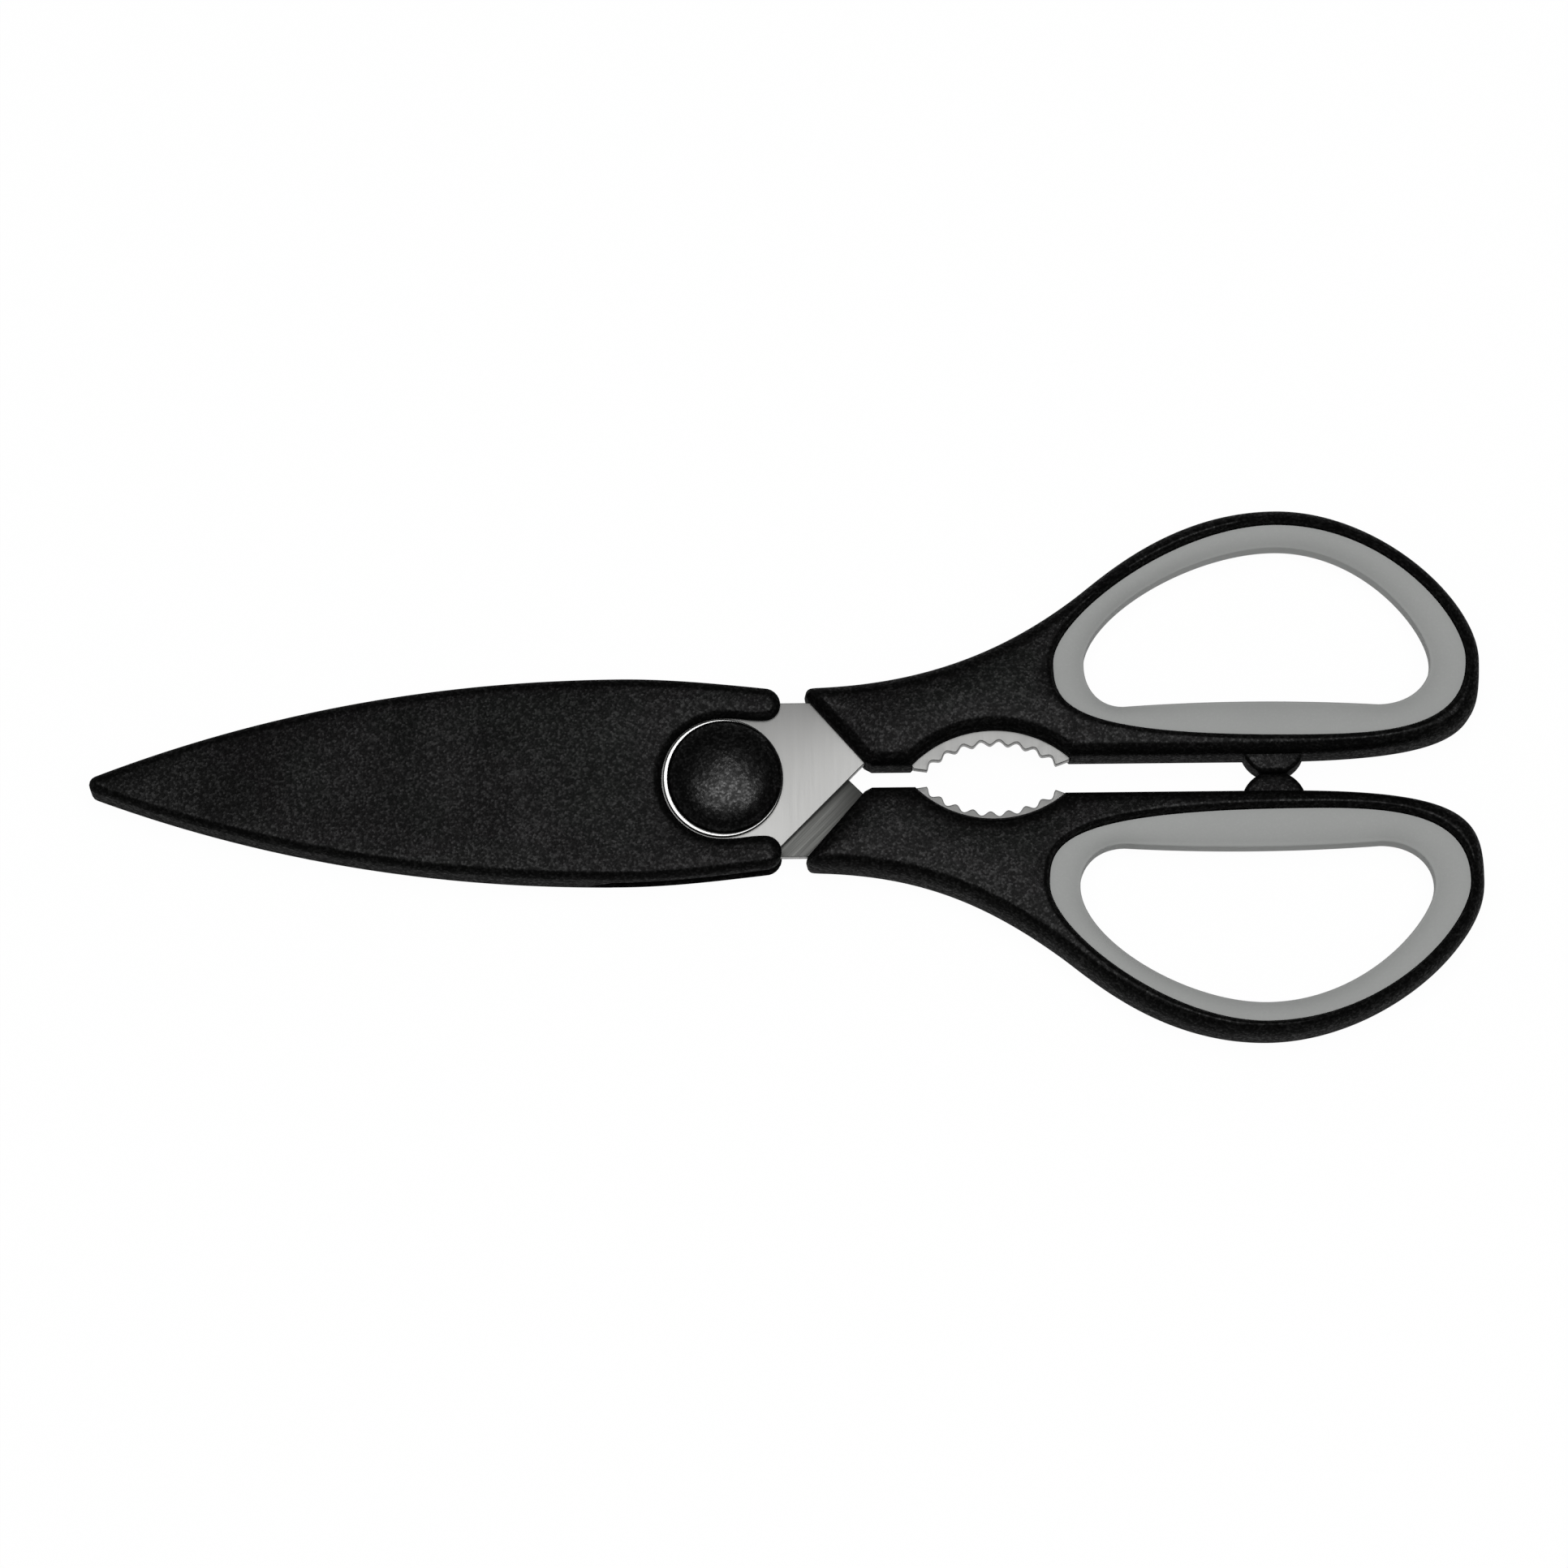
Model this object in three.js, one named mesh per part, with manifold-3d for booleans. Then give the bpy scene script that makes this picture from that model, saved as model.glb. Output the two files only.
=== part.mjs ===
// Kitchen shears lying flat, closed, with the blades in their sheath. Millimetres, +Z up.
// The origin is on the pivot axis at the surface that the shears lie on.
// The blade tips point along -X and the finger loops along +X.
import * as THREE from "three";
import { mergeVertices } from "three/addons/utils/BufferGeometryUtils.js";
import Module from "manifold-3d";

const wasm = await Module();
wasm.setup();

// Fits
const FIT_GAP = 0.2; // round a piece that is moulded or pressed into another
const RUN_GAP = 0.2; // between faces that turn on each other
const SLIDE_GAP = 0.2; // between the sheath's prongs and the washers they slide past

// Pivot
const BOLT_RADIUS = 3;
const HEAD_RADIUS = 6;
const HEAD_HEIGHT = 1.6;
const HEAD_CHAMFER = 0.4;
const NUT_FLATS = 10; // across flats
const NUT_HEIGHT = 1.7;
const WASHER_SHOW = 0.42; // rim that shows round the cap
const WASHER_PLAY = 0.28; // how far the washers sit off the axis, towards the blades
const WASHER_THICKNESS = 1;
const REAR_WASHER_THICKNESS = 0.5;
const CAP_RADIUS = 9.7;
const CAP_DOME = 3.5;
const CAP_SKIRT = 0.25; // straight side under the dome
const CAP_FLOOR = 1.1; // flat rear cap under the nut
const CAP_EDGE = 0.8; // rounded edge of the rear cap

// Blades: two equal steel stampings, the second one turned over
const BLADE_THICKNESS = 2;
const BLADE_REACH = 100.5; // pivot to tip
const BLADE_TIP = 1.6; // width of the blunt tip
const BOSS_MARGIN = 2.88; // steel round the washer
const HEEL_ANGLE = 157; // where the round boss meets the cutting edge, in degrees
const SPINE_START = 10; // where the straight back starts to curve, ahead of the pivot
const SPINE_LEAVE = 28; // how long the back keeps its direction there
const SPINE_ARRIVE = 28.5; // the same at the tip, along the blade
const SPINE_ARRIVE_RISE = 6.2; // and across it
const GRIND_WIDTH = 8; // face ground along the cutting edge
const EDGE_LAND = 0.3; // thickness left at the cutting edge
const PLATE_SLOPE = 45; // edge of the plate between the pivot and the handle, in degrees

// Handles: two mouldings that differ in the lean of their loops, the second one turned over
const HANDLE_THICKNESS = 12;
const HANDLE_EDGE_IN = 2; // rounded edge, measured across the face
const HANDLE_EDGE_DOWN = 3.2; // rounded edge, measured down the side
const MOUTH_GAP = 2.5; // between the sheath's prongs and the handle's outer front corner
const NOSE_LEAN = 41.2; // front edge, in degrees from straight across
const NOSE_RISE = 2.4; // inner front corner above the centre line
const NOSE_CUT = 1.3; // small corner cut there
const NOSE_GAP = 1.7; // inner side to the centre line, in front of the jaw
const CENTRE_GAP = 2.9; // inner side to the centre line, along the loop
const NECK_CORNER = 1.3; // radius of the outer front corner
const NECK_LEAVE = 18.3; // how long the outer side keeps its direction at the front corner
const NECK_ARRIVE = 14.2; // and where it arrives at the shoulder
const SHOULDER_AHEAD = 2.2; // end of the neck's hollow curve, in front of the opening
const SHOULDER_DROP = 8.4; // and below the opening's outer side
const SHOULDER_SLOPE = 0.76;
const SHOULDER_LEAVE = 4.6;
const SHOULDER_ARRIVE = 17.6;

// Toothed jaw in the handle's cut-out
const JAW_BEHIND = 21.9; // centre of the round cut-out behind the inner front corner
const JAW_DROP = 11.4; // and below the centre line
const JAW_RADIUS = 16.9; // to the tips of the teeth
const JAW_SHOW = 2.2; // steel showing between the handle and the tooth tips
const LOWER_JAW_SHOW = 1.7; // the same on the lower handle
const JAW_FLAT = 2.2; // length of the flat first tooth
const JAW_FLAT_RISE = 0.3; // of its outer end
const JAW_HEEL = 0.8; // rise of the last tooth's back
const TOOTH_DEPTH = 0.85;
const TOOTH_COUNT = 8; // whole teeth after the flat first one
const TOOTH_PITCH = 10; // degrees
const TOOTH_MIDDLE = 92; // direction of the middle of the row, in degrees

// Tang inside the handle
const TANG_INSET = 1.6; // plastic left under the tang
const TANG_BACKING = 0.9; // tang's end to the front of the opening
const TANG_END_HEIGHT = 3.1;
const TANG_CREST_AHEAD = 16.2; // highest point, in front of the opening
const TANG_CREST_RISE = 1.2; // and above the boss
const FRONT_ANCHOR = { behind: 4.5, rise: 5.6, radius: 2.4 }; // hole, from the inner front corner
const REAR_ANCHOR = { behind: 14, rise: 7.9, radius: 1.8 };

// Finger loop: opening, soft lining and rim, from the inside out
const LOOP_BEHIND = 14.8; // front of the opening behind the jaw's centre
const OPENING_LENGTH = 59;
const OPENING_WIDTH = 26.5;
const OPENING_CROWN = 0.7; // how far the inner side bulges into the opening
const OPENING_FRONT_CORNER = 7.1; // length of the inner corner at the front
const OPENING_END_CORNER = 8.9; // and at the end
const LINING_FRONT = 5.2;
const LINING_END = 5.9;
const LINING_NEAR = 6.2;
const LINING_FAR = 3.55;
const LINING_SINK = 2; // lining below the faces of the handle
const LINING_SLOPE = 38; // of the lining's crowned faces at the opening, in degrees
const LINING_DROP = 1.7; // and how far they come down there
const RIM_END = 2.45;
const RIM_NEAR = 3.4;
const RIM_FAR = 2.7;
const RIB_HEIGHT = 1.6; // locking rib round the recess
const RIB_THICKNESS = 3;
const CREST_BEHIND = 31.8; // widest place behind the front of the opening
const LOW_BEHIND = 37.8; // place where the lining comes closest to the centre line
const WAIST_RISE = 6.5; // the loop's two ends above the opening's inner side
const LOOP_LEAN = 1.4; // far side of the upper loop towards its end, of the lower one towards its front
const LEAN_FRONT = 0.4; // share of that at the front of the opening

// How full each quarter of the loop's outlines is, where it starts and where it ends
const OPENING_TURNS = {
  nearEnd: [0.6, 0.55],
  farEnd: [0.3, 0.59],
  farFront: [0.44, 0.45],
  nearFront: [0.53, 0.65],
};
const LINING_TURNS = {
  nearEnd: [0.5, 0.95],
  farEnd: [0.32, 0.59],
  farFront: [0.46, 0.33],
  nearFront: [0.54, 0.97],
};
const HANDLE_TURNS = { nearEnd: [0.95, 0.68], farEnd: [0.4, 0.52] };

// Closing stops between the loops
const STOP_BEHIND = 32.2; // behind the front of the opening
const STOP_RADIUS = 5.5;
const STOP_LAND = 4.4; // flat where the two stops meet
const STOP_THICKNESS = 6.8;
const STOP_GAP = 0.3;
const STOP_EDGE = 0.8;

// Sheath
const TIP_ROOM = 6.4; // blade tip to the sheath's closed tip
const SHEATH_TIP_RADIUS = 1.5;
const SHEATH_TIP_SLOPE = 20.8; // degrees
const SHEATH_TIP_LEAVE = 30.4;
const SHEATH_WIDEST = 17.5; // ahead of the pivot
const SHEATH_WIDEST_ARRIVE = 30.9;
const SHEATH_SWELL = 1.8; // widest place over the mouth
const SHEATH_SIDE = 1.6; // side wall
const SHEATH_FACE = 1.6; // front and back walls
const SHEATH_ROOM = 0.6; // between the blades and the front and back walls
const SHEATH_EDGE = 1.2;
const SHEATH_BACK_EDGE = 0.3;
const CAVITY_TIP = 0.1; // half width of the room inside at its closed end
const MOUTH_ROOM = 0.85; // between the boss and the side wall at the mouth
const PRONG_REACH = 9.5; // past the pivot
const NOTCH_ROOM = 0.18; // round the washer
const NOTCH_BACK = 0.3; // and how much more ahead of it
const SLOT_START = 23; // pointed start of the side slots, ahead of the pivot
const SLOT_POINT = 4; // length of the pointed part
const SLOT_POINT_HEIGHT = 1.7; // height over the seam where the pointed part ends
const SLOT_MOUTH_HEIGHT = 2.5; // and at the mouth
const SLOT_LIP = 0.4; // thickness of the back wall under the slots

// Heights
const MID = HANDLE_THICKNESS / 2; // plane between the two blades
const BLADE_BOTTOM = MID + RUN_GAP / 2;
const BLADE_TOP = BLADE_BOTTOM + BLADE_THICKNESS;
const WASHER_BOTTOM = BLADE_TOP + RUN_GAP;
const WASHER_TOP = WASHER_BOTTOM + WASHER_THICKNESS;
const CAP_SEAT = WASHER_TOP + FIT_GAP; // under the front cap and the bolt's head
const REAR_WASHER_TOP = turnedOver(WASHER_BOTTOM);
const NUT_SEAT = REAR_WASHER_TOP - REAR_WASHER_THICKNESS - FIT_GAP; // over the rear cap and the nut
const SHEATH_INNER = BLADE_TOP + SHEATH_ROOM;
const SHEATH_TOP = SHEATH_INNER + SHEATH_FACE;

// Half widths at the pivot, from the inside out
const WASHER_RADIUS = CAP_RADIUS + WASHER_SHOW;
const BOSS_RADIUS = WASHER_RADIUS + BOSS_MARGIN;
const MOUTH_HALF_WIDTH = BOSS_RADIUS + MOUTH_ROOM + SHEATH_SIDE; // of the prongs and the handles' fronts
const SHEATH_HALF_WIDTH = MOUTH_HALF_WIDTH + SHEATH_SWELL;
const NUT_CORNER = NUT_FLATS / 2 / Math.cos(Math.PI / 6);

// Places along the shears, from the sheath's tip to the end of the loops
const SHEATH_REACH = BLADE_REACH + TIP_ROOM;
const NECK_X = PRONG_REACH + MOUTH_GAP;
const NOSE_X = NECK_X + (MOUTH_HALF_WIDTH - NOSE_RISE) * Math.tan(radians(NOSE_LEAN));
const JAW_X = NOSE_X + JAW_BEHIND;
const OPENING_FRONT = JAW_X + LOOP_BEHIND;
const TANG_END = OPENING_FRONT - TANG_BACKING;
const LOOP_CREST = OPENING_FRONT + CREST_BEHIND;
const LOOP_LOW = OPENING_FRONT + LOW_BEHIND;
const STOP_X = OPENING_FRONT + STOP_BEHIND;
const OPENING_END = OPENING_FRONT + OPENING_LENGTH;
const HANDLE_END = OPENING_END + LINING_END + RIM_END;

// Places across the upper loop, from the centre line out
const LINING_INNER_SIDE = CENTRE_GAP + RIM_NEAR;
const OPENING_INNER_SIDE = LINING_INNER_SIDE + LINING_NEAR;
const LOOP_WAIST = OPENING_INNER_SIDE + WAIST_RISE;
const OPENING_OUTER_SIDE = OPENING_INNER_SIDE + OPENING_WIDTH;
const LINING_OUTER_SIDE = OPENING_OUTER_SIDE + LINING_FAR;
const HANDLE_OUTER_SIDE = LINING_OUTER_SIDE + RIM_FAR;

// Facets
const CURVE_STEPS = 8;
const ROUND_STEPS = 36;
const HOLE_STEPS = 18;
const EDGE_STEPS = 3;
const TOOTH_STEPS = 6;
const BEYOND = 40; // length of a cut that runs right through
const CUT_OVER = 1; // length of a cut past the face that it starts from

const blackPlastic = new THREE.MeshStandardMaterial({ color: 0x232323, roughness: 0.55, metalness: 0 });
const greyRubber = new THREE.MeshStandardMaterial({ color: 0x969696, roughness: 0.75, metalness: 0 });
const satinSteel = new THREE.MeshStandardMaterial({ color: 0xb8b8b6, roughness: 0.35, metalness: 1 });
const brightSteel = new THREE.MeshStandardMaterial({ color: 0xdcdcda, roughness: 0.15, metalness: 1 });

function radians(degrees) {
  return THREE.MathUtils.degToRad(degrees);
}

// Height of a point when the shears are turned over.
function turnedOver(height) {
  return 2 * MID - height;
}

// Solid of a closed geometry, ready to be joined or cut.
function solidOf(geometry) {
  const bare = geometry.index ? geometry.toNonIndexed() : geometry.clone();
  bare.deleteAttribute("normal");
  bare.deleteAttribute("uv");
  const merged = mergeVertices(bare, 1e-4);
  const mesh = new wasm.Mesh({
    numProp: 3,
    vertProperties: new Float32Array(merged.attributes.position.array),
    triVerts: new Uint32Array(merged.index.array),
  });
  return new wasm.Manifold(mesh);
}

// Geometry of a solid, for a mesh.
function geometryOf(solid) {
  const mesh = solid.getMesh();
  const geometry = new THREE.BufferGeometry();
  geometry.setAttribute("position", new THREE.BufferAttribute(mesh.vertProperties, 3));
  geometry.setIndex(new THREE.BufferAttribute(mesh.triVerts, 1));
  geometry.computeVertexNormals();
  return geometry;
}

// Points of a closed path, without the repeated last one.
function outlineOf(path) {
  const points = path.getPoints(CURVE_STEPS);
  const kept = points.filter((p, i) => i === 0 || p.distanceTo(points[i - 1]) > 1e-3);
  if (kept[0].distanceTo(kept.at(-1)) < 1e-3) {
    kept.pop();
  }
  return kept;
}

// Outline moved outwards by a distance, or inwards by a negative one. It runs anticlockwise.
function grow(outline, distance) {
  return outline.map((point, i) => {
    const before = outline.at(i - 1);
    const after = outline[(i + 1) % outline.length];
    const first = new THREE.Vector2(point.y - before.y, before.x - point.x).normalize();
    const second = new THREE.Vector2(after.y - point.y, point.x - after.x).normalize();
    const bisector = first.clone().add(second);
    return bisector.multiplyScalar((2 * distance) / bisector.lengthSq()).add(point);
  });
}

function mirrored(points) {
  return points.map((p) => new THREE.Vector2(p.x, -p.y)).reverse();
}

// Straight-sided plate of an outline between two heights.
function plate(outline, bottom, top) {
  const shape = new THREE.Shape(outline);
  const geometry = new THREE.ExtrudeGeometry(shape, { depth: top - bottom, bevelEnabled: false });
  return solidOf(geometry.translate(0, 0, bottom));
}

// Plate with both rims rounded, "across" on the face and "down" on the side.
function roundedPlate(outline, bottom, top, across, down, steps = EDGE_STEPS) {
  const shape = new THREE.Shape(outline);
  const geometry = new THREE.ExtrudeGeometry(shape, {
    depth: top - bottom - 2 * down,
    bevelThickness: down,
    bevelSize: across,
    bevelOffset: -across,
    bevelSegments: steps,
  });
  return solidOf(geometry.translate(0, 0, bottom + down));
}

function disc(x, y, radius, bottom, top) {
  const geometry = new THREE.CylinderGeometry(radius, radius, top - bottom, HOLE_STEPS);
  return solidOf(geometry.rotateX(Math.PI / 2).translate(x, y, (bottom + top) / 2));
}

// Turned piece from a profile of [radius, height] points, about the pivot axis or beside it.
function turned(profile, x = 0) {
  const points = profile.map(([radius, height]) => new THREE.Vector2(radius, height));
  const geometry = new THREE.LatheGeometry(points, ROUND_STEPS).rotateX(Math.PI / 2);
  return solidOf(geometry.translate(x, 0, 0));
}

// Quarter turn to a point, with how full it is at its start and its end.
function quarterTurn(path, x, y, [leave, arrive], upright) {
  const from = path.currentPoint.clone();
  const dx = x - from.x;
  const dy = y - from.y;
  if (upright) {
    path.bezierCurveTo(from.x, from.y + leave * dy, x - arrive * dx, y, x, y);
  } else {
    path.bezierCurveTo(from.x + leave * dx, from.y, x, y - arrive * dy, x, y);
  }
}

// Opening of the upper finger loop: a D with a slightly crowned inner side.
function openingOutline(lean) {
  const low = OPENING_INNER_SIDE - OPENING_CROWN;
  const cornerFront = OPENING_FRONT + OPENING_FRONT_CORNER;
  const cornerEnd = OPENING_END - OPENING_END_CORNER;
  const path = new THREE.Path();
  path.moveTo(cornerFront, low);
  path.quadraticCurveTo((cornerFront + cornerEnd) / 2, low + 2 * OPENING_CROWN, cornerEnd, low);
  quarterTurn(path, OPENING_END, LOOP_WAIST, OPENING_TURNS.nearEnd, false);
  quarterTurn(path, LOOP_CREST + lean, OPENING_OUTER_SIDE, OPENING_TURNS.farEnd, true);
  quarterTurn(path, OPENING_FRONT + LEAN_FRONT * lean, LOOP_WAIST, OPENING_TURNS.farFront, false);
  quarterTurn(path, cornerFront, low, OPENING_TURNS.nearFront, true);
  return outlineOf(path);
}

// Border between the soft lining and the black rim.
function liningOutline(lean) {
  const path = new THREE.Path();
  path.moveTo(LOOP_LOW, LINING_INNER_SIDE);
  quarterTurn(path, OPENING_END + LINING_END, LOOP_WAIST, LINING_TURNS.nearEnd, false);
  quarterTurn(path, LOOP_CREST + lean, LINING_OUTER_SIDE, LINING_TURNS.farEnd, true);
  const front = OPENING_FRONT - LINING_FRONT + LEAN_FRONT * lean;
  quarterTurn(path, front, LOOP_WAIST, LINING_TURNS.farFront, false);
  quarterTurn(path, LOOP_LOW, LINING_INNER_SIDE, LINING_TURNS.nearFront, true);
  return outlineOf(path);
}

// Outside of the upper handle, from its inner front corner round the loop and back along the neck.
function handleOutline(lean, show) {
  const cutRadius = JAW_RADIUS + show;
  const cutStart = Math.PI - Math.asin((NOSE_GAP + JAW_DROP) / cutRadius);
  const cutEnd = Math.asin((CENTRE_GAP + JAW_DROP) / cutRadius);
  const shoulderX = OPENING_FRONT - SHOULDER_AHEAD + lean;
  const crest = LOOP_CREST + lean;
  const shoulderY = OPENING_OUTER_SIDE - SHOULDER_DROP;
  const path = new THREE.Path();
  path.moveTo(NOSE_X, NOSE_RISE);
  path.lineTo(NOSE_X + NOSE_CUT, NOSE_GAP);
  path.absarc(JAW_X, -JAW_DROP, cutRadius, cutStart, cutEnd, true);
  path.lineTo(LOOP_CREST, CENTRE_GAP);
  quarterTurn(path, HANDLE_END, LOOP_WAIST, HANDLE_TURNS.nearEnd, false);
  quarterTurn(path, crest, HANDLE_OUTER_SIDE, HANDLE_TURNS.farEnd, true);
  path.bezierCurveTo(
    crest - SHOULDER_ARRIVE,
    HANDLE_OUTER_SIDE,
    shoulderX + SHOULDER_LEAVE,
    shoulderY + SHOULDER_LEAVE * SHOULDER_SLOPE,
    shoulderX,
    shoulderY,
  );
  path.bezierCurveTo(
    shoulderX - NECK_ARRIVE,
    shoulderY - NECK_ARRIVE * SHOULDER_SLOPE,
    NECK_X + NECK_LEAVE,
    MOUTH_HALF_WIDTH,
    NECK_X,
    MOUTH_HALF_WIDTH,
  );
  path.closePath();
  return outlineOf(path);
}

// What rounding takes off the outer front corner of the handle.
function neckCornerCut() {
  const slope = radians(90 + NOSE_LEAN);
  const run = NECK_CORNER * Math.tan(slope / 2);
  const path = new THREE.Path();
  path.moveTo(NECK_X - run * Math.cos(slope), MOUTH_HALF_WIDTH - run * Math.sin(slope));
  path.absarc(
    NECK_X + run,
    MOUTH_HALF_WIDTH - NECK_CORNER,
    NECK_CORNER,
    slope + Math.PI / 2,
    Math.PI / 2,
    true,
  );
  path.lineTo(NECK_X - run, MOUTH_HALF_WIDTH + run);
  path.closePath();
  return plate(outlineOf(path), -CUT_OVER, HANDLE_THICKNESS + CUT_OVER);
}

// Toothed edge of the jaw, from its flat first tooth at the front to the last tip.
function jawEdge() {
  const count = TOOTH_COUNT * TOOTH_STEPS;
  const first = TOOTH_MIDDLE + (TOOTH_COUNT * TOOTH_PITCH) / 2;
  const points = [];
  for (let i = 0; i <= count; i += 1) {
    const angle = radians(first - (i * TOOTH_PITCH) / TOOTH_STEPS);
    const wave = (1 - Math.cos((2 * Math.PI * i) / TOOTH_STEPS)) / 2;
    const radius = JAW_RADIUS + TOOTH_DEPTH * wave;
    points.push(new THREE.Vector2(JAW_X + radius * Math.cos(angle), radius * Math.sin(angle) - JAW_DROP));
  }
  const tip = points[0];
  return [new THREE.Vector2(tip.x - JAW_FLAT, tip.y + JAW_FLAT_RISE), ...points];
}

// Whole outline of the upper half's stamping: blade, boss, tang and jaw.
function stampingOutline() {
  const tangUnder = NOSE_GAP + TANG_INSET;
  const tangBehind = CENTRE_GAP + TANG_INSET;
  const slopeRun = (NOSE_RISE + BOSS_RADIUS) / Math.tan(radians(PLATE_SLOPE));
  const jaw = jawEdge();
  const path = new THREE.Path();
  path.moveTo(-BLADE_REACH, -BLADE_TIP / 2);
  path.bezierCurveTo(
    SPINE_ARRIVE - BLADE_REACH,
    -BLADE_TIP / 2 - SPINE_ARRIVE_RISE,
    -SPINE_START - SPINE_LEAVE,
    -BOSS_RADIUS,
    -SPINE_START,
    -BOSS_RADIUS,
  );
  path.lineTo(NOSE_X - slopeRun, -BOSS_RADIUS);
  path.lineTo(NOSE_X, NOSE_RISE);
  path.lineTo(NOSE_X + NOSE_CUT, tangUnder);
  path.lineTo(jaw[0].x - JAW_FLAT / 2, tangUnder);
  jaw.forEach((p) => path.lineTo(p.x, p.y));
  path.lineTo(jaw.at(-1).x + JAW_SHOW, jaw.at(-1).y + JAW_HEEL);
  path.lineTo(jaw.at(-1).x + JAW_SHOW + JAW_HEEL, tangBehind);
  path.lineTo(TANG_END, tangBehind);
  path.lineTo(TANG_END, tangBehind + TANG_END_HEIGHT);
  path.lineTo(OPENING_FRONT - TANG_CREST_AHEAD, BOSS_RADIUS + TANG_CREST_RISE);
  path.lineTo(NOSE_X, BOSS_RADIUS);
  path.lineTo(0, BOSS_RADIUS);
  path.absarc(0, 0, BOSS_RADIUS, Math.PI / 2, radians(HEEL_ANGLE), false);
  path.lineTo(-BLADE_REACH, BLADE_TIP / 2);
  path.closePath();
  return outlineOf(path);
}

// Wedge that the grinding takes off the outer face along the cutting edge.
function grindCut() {
  const heelAngle = radians(HEEL_ANGLE);
  const heel = new THREE.Vector2(Math.cos(heelAngle), Math.sin(heelAngle)).multiplyScalar(BOSS_RADIUS);
  const tip = new THREE.Vector2(-BLADE_REACH, BLADE_TIP / 2);
  const along = tip.clone().sub(heel);
  const depth = BLADE_THICKNESS - EDGE_LAND;
  const section = new THREE.Shape();
  section.moveTo(GRIND_WIDTH, 0);
  section.lineTo(GRIND_WIDTH, depth);
  section.lineTo(-GRIND_WIDTH, depth);
  section.lineTo(-GRIND_WIDTH, -2 * depth);
  section.closePath();
  const length = along.length() + GRIND_WIDTH;
  const geometry = new THREE.ExtrudeGeometry(section, { depth: length, bevelEnabled: false });
  const axisAlong = new THREE.Vector3(along.x, along.y, 0).normalize();
  const axisUp = new THREE.Vector3(0, 0, 1);
  const axisAcross = new THREE.Vector3().crossVectors(axisUp, axisAlong);
  geometry.applyMatrix4(new THREE.Matrix4().makeBasis(axisAcross, axisUp, axisAlong));
  return solidOf(geometry.translate(heel.x, heel.y, BLADE_TOP));
}

// Round bar through a tang hole, in the hole's own size or smaller by the fit.
function anchorPost(anchor, fit) {
  const low = BLADE_BOTTOM - CUT_OVER;
  const high = BLADE_TOP + CUT_OVER;
  return disc(NOSE_X + anchor.behind, NOSE_RISE + anchor.rise, anchor.radius - fit, low, high);
}

function blade() {
  const stamping = plate(stampingOutline(), BLADE_BOTTOM, BLADE_TOP);
  const bore = disc(0, 0, BOLT_RADIUS + RUN_GAP, BLADE_BOTTOM - CUT_OVER, BLADE_TOP + CUT_OVER);
  const holed = stamping.subtract(anchorPost(FRONT_ANCHOR, 0)).subtract(anchorPost(REAR_ANCHOR, 0));
  return holed.subtract(bore).subtract(grindCut());
}

// Room for the tang inside the handle, with the posts that pass through its holes left standing.
function tangPocket() {
  const room = plate(grow(stampingOutline(), FIT_GAP), BLADE_BOTTOM - FIT_GAP, BLADE_TOP + FIT_GAP);
  return room.subtract(anchorPost(FRONT_ANCHOR, FIT_GAP)).subtract(anchorPost(REAR_ANCHOR, FIT_GAP));
}

// Locking rib round the inside of the recess, or the groove for it when it is grown.
function lockingRib(extra, lean) {
  const border = liningOutline(lean);
  const half = RIB_THICKNESS / 2 + extra;
  const outer = plate(grow(border, CUT_OVER), MID - half, MID + half);
  return outer.subtract(plate(grow(border, -RIB_HEIGHT - extra), 0, HANDLE_THICKNESS));
}

// Round stop, flat where it meets the one on the other handle.
function closingStop() {
  const flat = Math.asin(STOP_LAND / 2 / STOP_RADIUS);
  const centre = STOP_GAP / 2 + STOP_RADIUS * Math.cos(flat);
  const path = new THREE.Path();
  path.absarc(STOP_X, centre, STOP_RADIUS, flat - Math.PI / 2, (3 * Math.PI) / 2 - flat, false);
  path.closePath();
  const half = STOP_THICKNESS / 2;
  return roundedPlate(outlineOf(path), MID - half, MID + half, STOP_EDGE, STOP_EDGE);
}

function handle(lean, show) {
  const outline = handleOutline(lean, show);
  const block = roundedPlate(outline, 0, HANDLE_THICKNESS, HANDLE_EDGE_IN, HANDLE_EDGE_DOWN);
  const body = block.subtract(neckCornerCut());
  const recess = plate(liningOutline(lean), -CUT_OVER, HANDLE_THICKNESS + CUT_OVER);
  const opened = body.add(closingStop()).subtract(recess);
  const rib = lockingRib(0, lean).intersect(body);
  return opened.add(rib).subtract(tangPocket());
}

// Where a ray from a point meets an outline round it.
function reach(outline, point, direction) {
  let nearest = Infinity;
  outline.forEach((a, i) => {
    const side = outline[(i + 1) % outline.length].clone().sub(a);
    const gap = a.clone().sub(point);
    const turn = direction.cross(side);
    const distance = gap.cross(side) / turn;
    const share = gap.cross(direction) / turn;
    if (distance > 0 && share >= 0 && share <= 1) {
      nearest = Math.min(nearest, distance);
    }
  });
  return point.clone().addScaledVector(direction, nearest);
}

// Section of the lining from the top of its border to the bottom: [share of the width, height over MID].
function liningSection() {
  const slope = radians(LINING_SLOPE);
  const front = [];
  for (let i = 0; i <= EDGE_STEPS; i += 1) {
    const angle = (slope * i) / EDGE_STEPS;
    const share = Math.sin(angle) / Math.sin(slope);
    const drop = (LINING_DROP * (1 - Math.cos(angle))) / (1 - Math.cos(slope));
    front.push([share, MID - LINING_SINK - drop]);
  }
  const back = front.map(([share, height]) => [share, -height]);
  return [...front, ...back.reverse()];
}

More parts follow.
